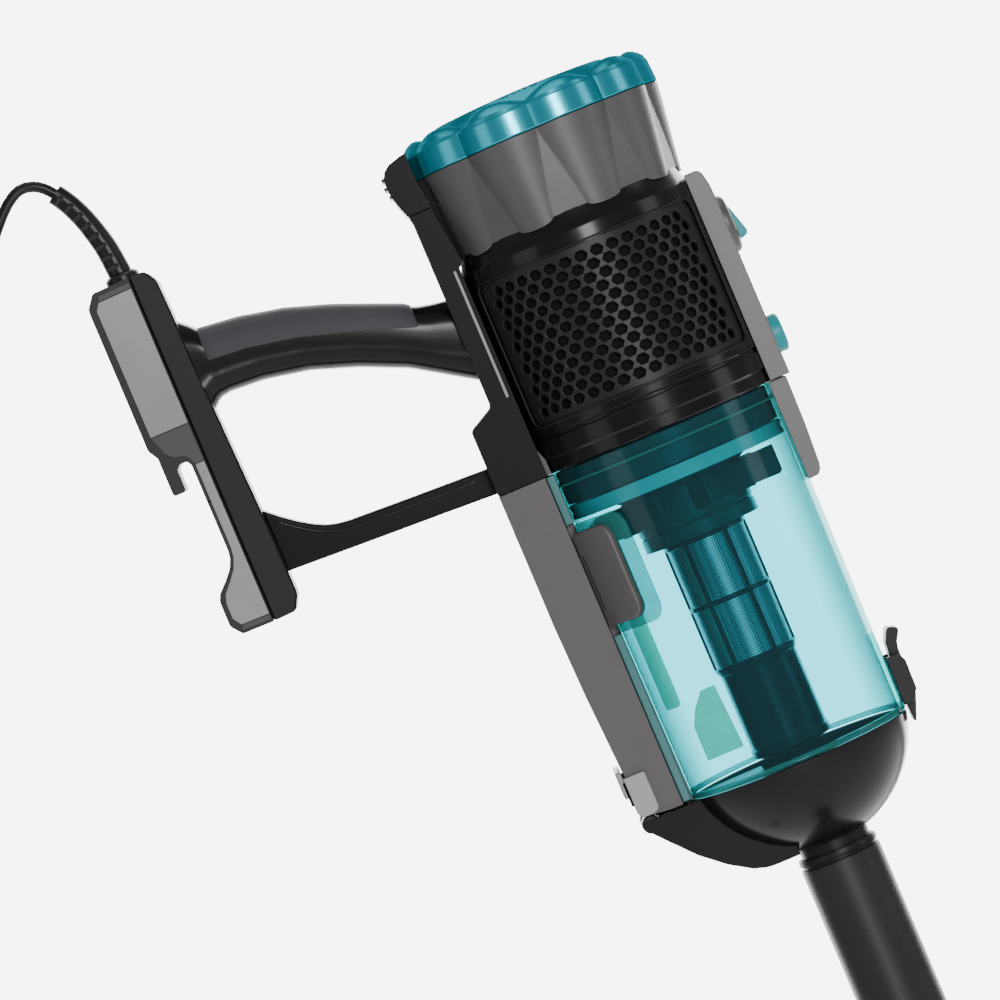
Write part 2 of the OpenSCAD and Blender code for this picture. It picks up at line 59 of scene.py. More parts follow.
# ---- camera: nearly a pure side view, rolled so that the machine leans to the left ----
LEAN = radians(23)
aim = at(-76, 0, 152.3, BIN)
eye = Vector((aim.x, -2.6, BIN + 0.206))
camera = bpy.data.objects.new("camera", bpy.data.cameras.new("camera"))
bpy.context.scene.collection.objects.link(camera)
camera.data.sensor_width = 36
camera.data.lens = 215
camera.location = eye
look = (aim - eye).normalized()
right = Vector((cos(LEAN), 0, -sin(LEAN)))
right = (right - right.dot(look) * look).normalized()
camera.rotation_euler = Matrix((right, right.cross(look), -look)).transposed().to_euler()
bpy.context.scene.camera = camera


# ---- materials ----
def new_material(name):
    m = bpy.data.materials.new(name)
    m.use_nodes = True
    return m


def feed(m, node, **inputs):
    """Sets a node's inputs by name, each to a value or from another node's output."""
    for key, value in inputs.items():
        socket = node.inputs[key.replace("_", " ")]
        if isinstance(value, bpy.types.NodeSocket):
            m.node_tree.links.new(value, socket)
        else:
            socket.default_value = value
    return node


def add(m, kind, **inputs):
    return feed(m, m.node_tree.nodes.new(kind), **inputs)


def place(m):
    return add(m, "ShaderNodeTexCoord").outputs["Object"]


def noise(m, where, scale, detail):
    return add(m, "ShaderNodeTexNoise", Vector=where, Scale=scale, Detail=detail).outputs["Fac"]


def relief(m, height, strength, distance):
    return add(m, "ShaderNodeBump", Height=height, Strength=strength, Distance=distance).outputs["Normal"]


def ramp(m, source, low, low_colour, high, high_colour):
    """A colour that runs from one to the other while source goes from low to high."""
    made = add(m, "ShaderNodeValToRGB", Fac=source)
    for stop, position, colour in zip(made.color_ramp.elements, (low, high), (low_colour, high_colour)):
        stop.position = position
        stop.color = (*colour, 1)
    return made.outputs["Color"]


def mixed(m, amount, first, second):
    made = add(m, "ShaderNodeMixShader", Fac=amount)
    m.node_tree.links.new(first.outputs[0], made.inputs[1])
    m.node_tree.links.new(second.outputs[0], made.inputs[2])
    return made


def shown(m, shader):
    feed(m, m.node_tree.nodes["Material Output"], Surface=shader.outputs[0])
    return m


def surface(name, colour, rough, metal=0.0, coat=0.0, grain=900.0, uneven=0.06, bump=0.0,
            shade=0.08, specular=0.5, coat_rough=0.06, sheen=0.0):
    """An opaque finish with a slightly uneven gloss, colour and relief."""
    m = new_material(name)
    where = place(m)
    fine = noise(m, where, grain, 3.0)
    gloss = add(m, "ShaderNodeMapRange", Value=fine, To_Min=max(0.02, rough - uneven),
                To_Max=min(1.0, rough + uneven))
    tone = ramp(m, noise(m, where, 22.0, 2.0), 0.3, [c * (1 - shade) for c in colour],
                0.7, [min(1, c * (1 + shade)) for c in colour])
    b = feed(m, m.node_tree.nodes["Principled BSDF"], Metallic=metal, Coat_Weight=coat,
             Coat_Roughness=coat_rough, Specular_IOR_Level=specular, Sheen_Weight=sheen,
             Roughness=gloss.outputs["Result"], Base_Color=tone)
    if bump:
        feed(m, b, Normal=relief(m, fine, bump, 0.0004))
    return m


def paint(name, colour, shine_colour, rough, share, grazing):
    """Metallic paint with fine upright streaks, whose shine fades at a glancing angle."""
    m = surface(name, colour, 0.5, specular=0.0, shade=0.05)
    drawn = add(m, "ShaderNodeMapping", Vector=place(m), Scale=(1, 1, 0.02))
    streaks = noise(m, drawn.outputs["Vector"], 420.0, 4.0)
    shine = add(m, "ShaderNodeBsdfGlossy", Color=(*shine_colour, 1), Roughness=rough,
                Normal=relief(m, streaks, 0.1, 0.0005))
    edge = add(m, "ShaderNodeLayerWeight", Blend=0.5)
    amount = add(m, "ShaderNodeMapRange", Value=edge.outputs["Facing"], From_Max=0.7, To_Min=share,
                 To_Max=grazing)
    return shown(m, mixed(m, amount.outputs["Result"], m.node_tree.nodes["Principled BSDF"], shine))


def clear(name, tint, edge_tint, gloss, haze, haze_colour):
    """Tinted clear plastic that lets light straight through, darker and shinier at a glancing angle."""
    m = new_material(name)
    m.node_tree.nodes.remove(m.node_tree.nodes["Principled BSDF"])
    facing = add(m, "ShaderNodeLayerWeight", Blend=0.5).outputs["Facing"]
    through = add(m, "ShaderNodeBsdfTransparent", Color=ramp(m, facing, 0.3, tint, 0.92, edge_tint))
    shine = add(m, "ShaderNodeBsdfGlossy", Roughness=gloss)
    steep = add(m, "ShaderNodeMath")
    steep.operation = "POWER"
    steep.inputs[1].default_value = 5.0
    m.node_tree.links.new(facing, steep.inputs[0])
    share = add(m, "ShaderNodeMapRange", Value=steep.outputs[0], To_Min=0.02, To_Max=0.45)
    hazy = mixed(m, haze, through, add(m, "ShaderNodeBsdfDiffuse", Color=(*haze_colour, 1)))
    return shown(m, mixed(m, share.outputs["Result"], hazy, shine))


def mesh_metal(name):
    """Fine woven steel: dark holes in rows on bright wire."""
    m = surface(name, (0.5, 0.52, 0.55), 0.35, metal=0.9)
    holes = add(m, "ShaderNodeTexVoronoi", Vector=place(m), Scale=900.0, Randomness=0.0)
    wire = ramp(m, holes.outputs["Distance"], 0.28, (0.01, 0.015, 0.02), 0.4, (0.5, 0.53, 0.56))
    feed(m, m.node_tree.nodes["Principled BSDF"], Base_Color=wire)
    return m


M = {
    "cap": paint("cap_turquoise", (0.008, 0.16, 0.21), (0.06, 0.66, 0.82), 0.24, 0.72, 0.03),
    "button": surface("button_turquoise_finish", (0.01, 0.33, 0.38), 0.36, specular=0.35, bump=0.02),
    "collar": surface("collar_grey_finish", (0.115, 0.11, 0.11), 0.42, metal=0.35, bump=0.05),
    "gloss": surface("gloss_black_finish", (0.007, 0.006, 0.0055), 0.22, coat=0.12, specular=0.25, grain=260,
                     uneven=0.015, coat_rough=0.12),
    "satin": surface("satin_black_finish", (0.012, 0.0115, 0.012), 0.38, bump=0.05, specular=0.25),
    # painted shade: a darker copy of the handle's grey, for sloped faces that are drawn flat
    "slope": surface("slope_painted_shade_finish", (0.06, 0.058, 0.06), 0.4, metal=0.25, bump=0.05),
    "grille": surface("grille_black_finish", (0.011, 0.009, 0.009), 0.42, bump=0.05, specular=0.4),
    "dark": surface("deep_black_finish", (0.002, 0.002, 0.002), 0.7, specular=0.1),
    # painted light: a lighter copy of the duct's grey, for the tab, which faces away from the lamps
    "tab": surface("tab_grey_painted_light_finish", (0.125, 0.113, 0.115), 0.4, metal=0.25, bump=0.06),
    "duct": surface("duct_grey_finish", (0.088, 0.078, 0.08), 0.44, metal=0.2, bump=0.06),
    "handle": surface("handle_grey_finish", (0.27, 0.28, 0.282), 0.42, metal=0.2, bump=0.05),
    # painted shade: the handle shell is grey plastic, drawn dark to stand in for the dark reflections on its
    # bevels
    "handle_bevel_painted_shade": surface("handle_bevel_painted_shade_finish", (0.024, 0.024, 0.026), 0.38, bump=0.05, specular=0.3),
    "panel": surface("panel_grey_finish", (0.13, 0.125, 0.125), 0.4, metal=0.3, bump=0.05),
    "bezel": surface("bezel_grey_finish", (0.13, 0.125, 0.127), 0.36, metal=0.4, bump=0.04),
    "clip": surface("clip_grey_finish", (0.33, 0.33, 0.32), 0.4, metal=0.2, bump=0.04),
    "soft": surface("soft_grip_finish", (0.052, 0.052, 0.058), 0.62, grain=2200, bump=0.25, sheen=0.2,
                    specular=0.35),
    "wand": surface("wand_grey_finish", (0.017, 0.018, 0.02), 0.42, grain=1500, bump=0.1, specular=0.4),
    "head": surface("head_black_finish", (0.014, 0.0145, 0.017), 0.3, grain=1300, bump=0.08),
    "sole": surface("sole_black_finish", (0.012, 0.012, 0.014), 0.55, bump=0.1),
    "rubber": surface("rubber_finish", (0.012, 0.012, 0.012), 0.68, grain=1800, bump=0.3),
    "bumper": surface("bumper_finish", (0.06, 0.062, 0.068), 0.66, grain=1600, bump=0.2),
    "cord": surface("cord_finish", (0.006, 0.006, 0.0065), 0.34, grain=1800, bump=0.1, specular=0.4),
    "steel": surface("steel_finish", (0.55, 0.55, 0.57), 0.24, metal=1.0, grain=1400),
    "alloy": surface("alloy_finish", (0.5, 0.51, 0.53), 0.38, metal=1.0, bump=0.2),
    "iron": surface("iron_finish", (0.14, 0.145, 0.15), 0.5, metal=0.8, bump=0.3),
    "foam": surface("foam_finish", (0.3, 0.42, 0.45), 0.95, grain=700, bump=1.0),
    "black_foam": surface("black_foam_finish", (0.004, 0.004, 0.004), 0.95, grain=700, bump=1.0),
    "bristle": surface("bristle_finish", (0.006, 0.006, 0.006), 0.7, grain=1500, bump=0.8),
    "strip": clear("strip_teal_finish", (0.12, 0.82, 0.7), (0.08, 0.7, 0.6), 0.1, 0.3, (0.05, 0.7, 0.58)),
    "flap": clear("flap_green_finish", (0.4, 0.78, 0.64), (0.3, 0.7, 0.55), 0.1, 0.3, (0.2, 0.55, 0.42)),
    "shade": surface("shaded_black_finish", (0.0085, 0.008, 0.008), 0.34, specular=0.12, uneven=0.03),
    "rail": surface("rail_teal_finish", (0.045, 0.19, 0.19), 0.3, coat=0.2, specular=0.4),
    "cyclone": surface("cyclone_finish", (0.04, 0.062, 0.07), 0.28, specular=0.4, grain=260, uneven=0.015),
    "core": surface("core_finish", (0.004, 0.012, 0.02), 0.22, coat=0.3, specular=0.5),
    "cyan": surface("cyan_seal_finish", (0.01, 0.78, 0.76), 0.4),
    "mesh": mesh_metal("screen_mesh_finish"),
    "clear": clear("bin_clear_finish", (0.42, 0.8, 0.84), (0.06, 0.5, 0.5), 0.05, 0.04, (0.12, 0.4, 0.44)),
    "teal_clear": clear("teal_clear_finish", (0.25, 0.74, 0.72), (0.05, 0.42, 0.4), 0.05, 0.25,
                        (0.05, 0.42, 0.4)),
}


# ---- shapes, in millimetres ----
def lathe(profile, sides=128, closed=True):
    """A ring or solid turned about Z from (radius, height) points; a radius of 0 ends on the axis."""
    verts, rows = [], []
    for r, z in profile:
        if r == 0:
            rows.append([len(verts)] * sides)
            verts.append((0, 0, z))
            continue
        rows.append([len(verts) + i for i in range(sides)])
        verts += [(r * cos(FULL * i / sides), r * sin(FULL * i / sides), z) for i in range(sides)]
    faces = []
    last = len(rows) if closed else len(rows) - 1
    for k in range(last):
        a, b = rows[k], rows[(k + 1) % len(rows)]
        for i in range(sides):
            j = (i + 1) % sides
            face = []
            for v in (a[i], a[j], b[j], b[i]):
                if v not in face:
                    face.append(v)
            if len(face) > 2:
                faces.append(face)
    return verts, faces


def prism(outline, y0, y1):
    """An (x, z) outline drawn out along Y."""
    n = len(outline)
    verts = [(x, y0, z) for x, z in outline] + [(x, y1, z) for x, z in outline]
    faces = [list(range(n)), list(range(2 * n - 1, n - 1, -1))]
    faces += [[i, i + n, (i + 1) % n + n, (i + 1) % n] for i in range(n)]
    return verts, faces


def block(x0, y0, z0, x1, y1, z1):
    return prism([(x0, z0), (x1, z0), (x1, z1), (x0, z1)], y0, y1)


def loft(rings, caps=True):
    """Skins rings of points that all have the same count."""
    n = len(rings[0])
    verts = [p for ring in rings for p in ring]
    faces = [[k * n + i, k * n + (i + 1) % n, (k + 1) * n + (i + 1) % n, (k + 1) * n + i]
             for k in range(len(rings) - 1) for i in range(n)]
    if caps:
        faces += [list(range(n - 1, -1, -1)), [(len(rings) - 1) * n + i for i in range(n)]]
    return verts, faces


def round_x(profile, y, z, sides=64):
    """A solid turned about a line along X, from (x, radius) points."""
    rings = [[(x, y + r * cos(FULL * i / sides), z + r * sin(FULL * i / sides))
              for i in range(sides)] for x, r in profile]
    return loft(rings)


def round_y(profile, x, z, sides=64):
    rings = [[(x + r * cos(FULL * i / sides), y, z + r * sin(FULL * i / sides))
              for i in range(sides)] for y, r in profile]
    return loft(rings)


def tube(path, radius, sides=12):
    """A closed tube along points; radius is a number or one per point."""
    pts = [Vector(p) for p in path]
    rings, across = [], None
    for i, p in enumerate(pts):
        t = (pts[min(i + 1, len(pts) - 1)] - pts[max(i - 1, 0)]).normalized()
        if across is None:
            across = t.cross(Vector((0, 1, 0.001))).normalized()
        across = (across - across.dot(t) * t).normalized()
        other = t.cross(across)
        r = radius[i] if isinstance(radius, (list, tuple)) else radius
        rings.append([tuple(p + r * (cos(FULL * k / sides) * across + sin(FULL * k / sides) * other))
                      for k in range(sides)])
    return loft(rings)


def join(*parts):
    verts, faces = [], []
    for v, f in parts:
        n = len(verts)
        verts += v
        faces += [[i + n for i in face] for face in f]
    return verts, faces


def mirrored(part):
    v, f = part
    return [(x, -y, z) for x, y, z in v], [face[::-1] for face in f]


def both(part):
    return join(part, mirrored(part))


def raw(name, part, base):
    verts, faces = part
    data = bpy.data.meshes.new(name)
    data.from_pydata([at(x, y, z, base) for x, y, z in verts], [], faces)
    bm = bmesh.new()
    bm.from_mesh(data)
    bmesh.ops.remove_doubles(bm, verts=bm.verts, dist=1e-6)
    bmesh.ops.recalc_face_normals(bm, faces=bm.faces)
    bm.to_mesh(data)
    bm.free()
    ob = bpy.data.objects.new(name, data)
    bpy.context.scene.collection.objects.link(ob)
    return ob


def applied(ob):
    """Makes ob's modifiers part of its mesh."""
    graph = bpy.context.evaluated_depsgraph_get()
    made = bpy.data.meshes.new_from_object(ob.evaluated_get(graph))
    ob.modifiers.clear()
    ob.data = made


def cut(ob, *parts, base):
    """Takes closed parts away from ob."""
    for part in parts:
        tool = raw("cutter", part, base)
        step = ob.modifiers.new("cut", "BOOLEAN")
        step.operation = "DIFFERENCE"
        step.solver = "EXACT"
        step.object = tool
        applied(ob)
        bpy.data.objects.remove(tool)


def softened(ob, width, steps=3, limit=32):
    """Rounds ob's sharp edges."""
    edge = ob.modifiers.new("edges", "BEVEL")
    edge.width = width * MM
    edge.segments = steps
    edge.limit_method = "ANGLE"
    edge.angle_limit = radians(limit)
    edge.harden_normals = False
    applied(ob)


def smooth(ob, angle=35):
    """Smooth shading in which large flat faces stay flat."""
    for p in ob.data.polygons:
        p.use_smooth = True
    ob.data.set_sharp_from_angle(angle=radians(angle))
    even = ob.modifiers.new("normals", "WEIGHTED_NORMAL")
    even.keep_sharp = True
    even.weight = 80
    applied(ob)


def finished(ob, finish, angle):
    """Gives ob its smooth shading and its finish."""
    smooth(ob, angle)
    ob.data.materials.clear()
    ob.data.materials.append(M[finish])


def placed(ob, body, nodes):
    """Puts ob on its body, in the place of the CAD nodes that it stands for."""
    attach(ob, body)
    for node in nodes:
        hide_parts(node)
    return ob


def piece(name, part, finish, body, base, nodes=(), slot=None, bevel=0, steps=3, cuts=(), angle=35,
          limit=32):
    """One visible piece: made, cut, rounded, given its finish, and put on its body."""
    ob = raw(name, part, base)
    if cuts:
        cut(ob, *cuts, base=base)
    if bevel:
        softened(ob, bevel, steps, limit)
    finished(ob, finish, angle)
    return placed(ob, body, nodes)


def on_unit(name, part, finish, nodes=(), slot=None, **how):
    return piece(name, part, finish, "hand_unit", UNIT, nodes, slot, **how)


def on_bin(name, part, finish, nodes=(), slot=None, **how):
    return piece(name, part, finish, "dust_bin", BIN, nodes, slot, **how)


def curve_through(points, steps):
    """Points of a smooth curve through the given ones."""
    out = []
    pts = [Vector(p) for p in points]
    for i in range(len(pts) - 1):
        a, b, c, d = pts[max(i - 1, 0)], pts[i], pts[i + 1], pts[min(i + 2, len(pts) - 1)]
        for k in range(steps):
            t = k / steps
            out.append(0.5 * (2 * b + (c - a) * t + (2 * a - 5 * b + 4 * c - d) * t * t
                              + (3 * b - a - 3 * c + d) * t ** 3))
    out.append(pts[-1])
    return out


# ---- the cord: strain relief, free run, coil on the floor, tie and plug ----
CORD_R = 2.5
COIL = (-478, 92)          # the coil's middle, from the wand's axis
ROWS, COLUMNS = 5, 5
TURN = 5.06                # spacing of the coil's turns
COIL_MID = 29
relief_line = [(-189.5, 0, 152.3), (-189.9, 0, 158), (-190.8, 0, 166), (-192.6, 0, 174),
               (-195, 0, 182), (-198.3, 0, 189.6), (-202.2, 0, 196)]
cord_line = [
    (-202.2, 0, 196), (-205.6, 0, 200), (-210, 0, 202.8), (-216, 0, 203.5), (-223, 0, 199.8),
    (-231, 0, 192), (-241, 0, 180), (-252, 0, 164), (-266, 0, 140), (-284, 1, 104),
    (-304, 3, 60), (-324, 6, 14), (-344, 10, -36), (-362, 15, -86), (-376, 22, -134),
    (-388, 31, -190), (-398, 43, -250), (-406, 57, -314), (-412, 72, -384),
    (-417, 90, -460), (-420, 108, -540), (-423, 123, -620), (-425, 131, -690),
    (-427, 131, -760), (-429, 131, -830), (-432, 131, -880), (-436, 131, -914),
    (-443, 131, -934), (-453, 131, -944.5), (-465, 131, -949)]
FLOOR = -UNIT / MM         # the floor's height, from the unit's bottom
ROW_LOW = FLOOR + 3.4
PLUG_Z = FLOOR + 34.7
PLUG_Y = COIL[1] - 20


def coil_points():
    """Columns of turns from the outside in, each wound up or down, then a rise to the plug."""
    out, per_turn = [], 18
    straight = ROWS - 0.8      # the turns of a column before it steps inwards
    for column in range(COLUMNS):
        r = COIL_MID + TURN * ((COLUMNS - 1) / 2 - column)
        count = ROWS * per_turn
        for i in range(count):
            turn = i / per_turn
            level = turn * (ROWS - 1) / ROWS * (ROWS - 1) / straight
            if column % 2:
                level = ROWS - 1 - level
            ease = max(0.0, (turn - straight) / 0.8)
            inward = 0 if column == COLUMNS - 1 else TURN * ease
            a = pi / 2 + FULL * turn
            out.append((COIL[0] + (r - inward) * cos(a), COIL[1] + (r - inward) * sin(a),
                        ROW_LOW + TURN * level))
    r = COIL_MID - TURN * (COLUMNS - 1) / 2
    top = ROW_LOW + TURN * (ROWS - 1)
    for i in range(9):
        t = i / 9
        a = pi / 2 + pi * t
        rise = (PLUG_Z - top) * t * t * (3 - 2 * t)
        out_r = r + (20 - r) * t
        out.append((COIL[0] + out_r * cos(a), COIL[1] + out_r * sin(a), top + rise))
    out.append((COIL[0] - 2, PLUG_Y, PLUG_Z))
    return out


def power_cord():
    free = curve_through(cord_line, 2)
    line = [tuple(p) for p in free] + coil_points()
    data = bpy.data.curves.new("flex", "CURVE")
    data.dimensions = "3D"
    data.bevel_depth = CORD_R * MM
    data.bevel_resolution = 3
    data.use_fill_caps = True
    spline = data.splines.new("POLY")
    spline.points.add(len(line) - 1)
    for point, p in zip(spline.points, line):
        point.co = (*at(*p, UNIT), 1)
    spline.use_smooth = True
    flex = bpy.data.objects.new("mains_cord", data)
    bpy.context.scene.collection.objects.link(flex)
    data.materials.append(M["cord"])
    placed(flex, "hand_unit", ["power_cord", "cord_coil"])
    spots = [at(*p, UNIT) for p in line]
    return flex, sum((b - a).length for a, b in zip(spots, spots[1:]))


def strain_relief():
    """A tapered sleeve with slots in two sides, on a round flange."""
    line = curve_through(relief_line, 6)
    n = len(line) - 1
    sleeve = tube(line, [5.35 - 0.75 * i / n for i in range(n + 1)], 32)
    flange = lathe([(0, 149.6), (7.6, 149.6), (7.6, 151.6), (6.9, 152.6), (5.2, 153.4), (0, 153.4)], 48,
                   False)
    flange = ([(x - 189.5, y, z) for x, y, z in flange[0]], flange[1])
    slots = []
    for k in range(8):
        i = 5 + round(k * (n - 8) / 7)
        p = line[i]
        t = (line[i + 1] - line[i - 1]).normalized()
        u = t.cross(Vector((0, 1, 0))).normalized()
        for side in (-1, 1):
            ring = [p + a * t * 0.95 + b * u * 2.4 + side * Vector((0, 1, 0)) * 2.2 + u * 1.5
                    for a, b in ((-1, -1), (1, -1), (1, 1), (-1, 1))]
            far = [q + side * Vector((0, 1, 0)) * 4 for q in ring]
            slots.append(loft([[tuple(q) for q in ring], [tuple(q) for q in far]]))
    sleeve = on_unit("relief_sleeve", sleeve, "cord", ["strain_relief"], "cord_black", cuts=[join(*slots)],
                     angle=30)
    flange = on_unit("relief_flange", flange, "cord", slot="cord_black", angle=30)
    return sleeve, flange


def plug_pieces():
    x0 = COIL[0] - 6
    low, high = FLOOR + 26.2, FLOOR + 43
    sections = []
    for x, wide, tall in ((0, 4.4, 4.4), (3, 5.4, 5), (7, 9, 6.4), (13, 13.4, 7.8), (24, 14.6, 8.2),
                          (30, 14.6, 8.2), (31.8, 13.6, 7.4)):
        ring = []
        for i in range(32):
            a = FULL * i / 32
            c, s = cos(a), sin(a)
            ring.append((x0 + x, PLUG_Y + wide * copysign(abs(c) ** 0.55, c),
                         (low + high) / 2 + tall * copysign(abs(s) ** 0.55, s)))
        sections.append(ring)
    body = on_unit("plug_body", loft(sections), "cord", ["plug"], "cord_black", angle=40)
    grips = on_unit("plug_grips", both_about(PLUG_Y, join(*[block(x0 + 12 + 3.2 * k, PLUG_Y + 13.4, low + 4,
                                                                  x0 + 13.4 + 3.2 * k, PLUG_Y + 15,
                                                                  high - 4) for k in range(4)])), "cord",
                    slot="cord_black", bevel=0.4)
    pins = []
    for y in (-9.5, 9.5):
        pins.append(round_x([(x0 + 31, 2.4), (x0 + 49, 2.4), (x0 + 50.6, 1.2)], PLUG_Y + y, PLUG_Z, 32))
    metal = on_unit("plug_pins", join(*pins), "steel", slot="steel")
    return [body, grips, metal]


def both_about(y, part):
    v, f = part
    return join(part, ([(px, 2 * y - py, pz) for px, py, pz in v], [face[::-1] for face in f]))


def coil_tie():
    """A flat band round the coil's turns."""
    a = radians(135)
    out = (cos(a), sin(a))
    ring = [(COIL_MID + r, z) for r, z in ((-13.2, 0.15), (13.2, 0.15), (13.4, 13), (13.2, 27), (-13.2, 27),
                                           (-13.4, 13))]
    inner = [(COIL_MID + (r - COIL_MID) * 0.955, 13.5 + (z - 13.5) * 0.95) for r, z in ring]
    rings = []
    for points, side in ((ring, -4), (ring, 4), (inner, 4), (inner, -4)):
        rings.append([(COIL[0] + r * out[0] - side * out[1], COIL[1] + r * out[1] + side * out[0],
                       FLOOR + z) for r, z in points])
    rings.append(rings[0])
    return on_unit("coil_tie", loft(rings, caps=False), "rubber", slot="cord_black", bevel=0.25, steps=2)


flex, flex_length = power_cord()
sleeve, flange = strain_relief()
with_flex = [sleeve, flange, coil_tie(), *plug_pieces()]


# ---- petalled cap and collar ----
PETALS = 10
HALF = pi / PETALS
CAP_LOW = 139.3


def petal_angle(a):
    """How far the direction a is from the middle of its petal, in radians."""
    return (a + pi / 2) % (2 * HALF) - HALF


def outline_r(a, r=58.2, depth=4.0):
    t = abs(petal_angle(a)) / HALF
    return r - depth * t ** 2


def cap_height(r, a):
    """The cap's top: a low plateau, and in front of it a rounded pillow on each petal."""
    plateau = 158.9 - 1.6 * (r / 40) ** 2 - 0.62 * max(0.0, r - 39) ** 1.15
    inset = outline_r(a) - r
    t = abs(petal_angle(a)) / HALF
    crest = 6.0 - 4.4 * t ** 2
    rise = crest * (1 - (1 - min(inset / 8.5, 1)) ** 2)
    pillow = CAP_LOW + 10.8 + rise - 0.16 * max(0.0, inset - 8.5) ** 1.6
    return max(plateau, pillow)


def top_cap():
    around, rings = 720, []
    for inset, z in ((7, 0), (0.9, 0), (0.25, 0.3), (0, 0.8), (0.25, 5.5), (0.55, 10.3), (0.7, 10.6),
                     (1.0, 10.8)):
        rings.append([((outline_r(a) - inset) * cos(a), (outline_r(a) - inset) * sin(a),
                       CAP_LOW + z) for a in (FULL * i / around for i in range(around))])
    for k in range(1, 46):
        share = 1 - (k / 46) ** 1.3
        row = []
        for i in range(around):
            a = FULL * i / around
            r = (outline_r(a) - 1.0) * share
            row.append((r * cos(a), r * sin(a), cap_height(r, a)))
        rings.append(row)
    verts, faces = loft(rings, caps=False)
    n = len(verts)
    verts.append((0, 0, cap_height(0, 0)))
    last = (len(rings) - 1) * around
    faces += [[last + i, last + (i + 1) % around, n] for i in range(around)]
    on_unit("petal_cap", (verts, faces), "cap", ["top_cap"], "cap_teal", angle=24)
    seam = [((outline_r(a) - 1.2) * cos(a), (outline_r(a) - 1.2) * sin(a))
            for a in (FULL * i / 360 for i in range(360))]
    on_unit("cap_seam", loft([[(x, y, z) for x, y in seam] for z in (138.4, 139.9)]), "dark",
            slot="gloss_black")


def petal_collar():
    """Lobes that narrow downwards, with flat facets between them and a scalloped lower edge."""
    around, levels, rings = 720, 26, []
    for k in range(levels + 1):
        v = k / levels
        half = HALF * (1 - v) + 0.158 * v
        rim = 58.0 - 5.2 * v ** 1.1
        edge_drop = 4.0 * (1 - v) + 1.3 * v
        flat = (rim - edge_drop) * cos(HALF - half)
        row = []
        for i in range(around):
            a = FULL * i / around
            p = abs(petal_angle(a))
            if p < half:
                r = rim - edge_drop * (p / half) ** 2
                hang = 2.3 * sqrt(max(0.0, 1 - (p / half) ** 2))
            else:
                r = flat / cos(HALF - p)
                hang = 0
            z = 139.0 - (139.0 - 101.4) * v - hang * v ** 6
            row.append((r * cos(a), r * sin(a), z))
        rings.append(row)
    inner = [[(46 * cos(FULL * i / around), 46 * sin(FULL * i / around), z)
              for i in range(around)] for z in (100.5, 138)]
    rings += inner + [rings[0]]
    on_unit("lobed_collar", loft(rings, caps=False), "collar", ["petal_collar"], "collar_grey", angle=14)


top_cap()
petal_collar()


# ---- motor housing with its two honeycomb windows ----
R_HOUSE = 54.2
WINDOW = (20.9, 86.4)      # the window's lower and upper edge
WINDOW_TURN = radians(65)


def on_wall(s, z, r=R_HOUSE, side=-1):
    """A point on the round wall, s radians from the middle of one side."""
    return (r * sin(s), side * r * cos(s), z)


def window_outline(grow=0.0, corner=5.0, steps=6, along=24):
    """The window's edge as (angle, height) points, with round corners."""
    s1, z0, z1 = WINDOW_TURN + grow / R_HOUSE, WINDOW[0] - grow, WINDOW[1] + grow
    c = corner + grow
    out = []
    for sx, z, start in ((1, z1, 0), (-1, z1, 1), (-1, z0, 2), (1, z0, 3)):
        cz = z - c if z == z1 else z + c
        cs = sx * (s1 - c / R_HOUSE)
        for k in range(steps + 1):
            a = pi / 2 * (start + k / steps)
            out.append((cs + c / R_HOUSE * cos(a), cz + c * sin(a)))
        if start in (0, 2):
            end = -cs
            out += [(cs + (end - cs) * k / along, cz + c * (1 if start == 0 else -1))
                    for k in range(1, along)]
    return out


def housing():
    outer = [(51.6, 0), (52.6, 0), (53.4, 0.8), (53.4, 5.6), (54.2, 6.6), (54.2, 13.8), (53.5, 14.6),
             (53.5, 15.6), (54.2, 16.4), (54.2, 92.6), (53.4, 94.2), (52.2, 97), (51.0, 101.6), (47, 101.6),
             (47, 99), (51.0, 97)]
    ob = raw("motor_shell", lathe(outer, 192), UNIT)
    edge = window_outline()
    cutters = []
    for side in (-1, 1):
        cutters.append(prism([(R_HOUSE * sin(s), z) for s, z in edge], 18 * side, 70 * side))
    cut(ob, *cutters, base=UNIT)
    softened(ob, 0.35, 2, 40)
    finished(ob, "gloss", 35)
    placed(ob, "hand_unit", ["motor_housing"])
    for side, tag in ((-1, "near"), (1, "far")):
        rim = window_outline(0.9, 5.0)
        rim.append(rim[0])
        path = [on_wall(s, z, R_HOUSE + 0.1, side) for s, z in rim]
        on_unit("window_rim_" + tag, tube(path, 0.55, 8), "satin", slot="gloss_black", angle=60)


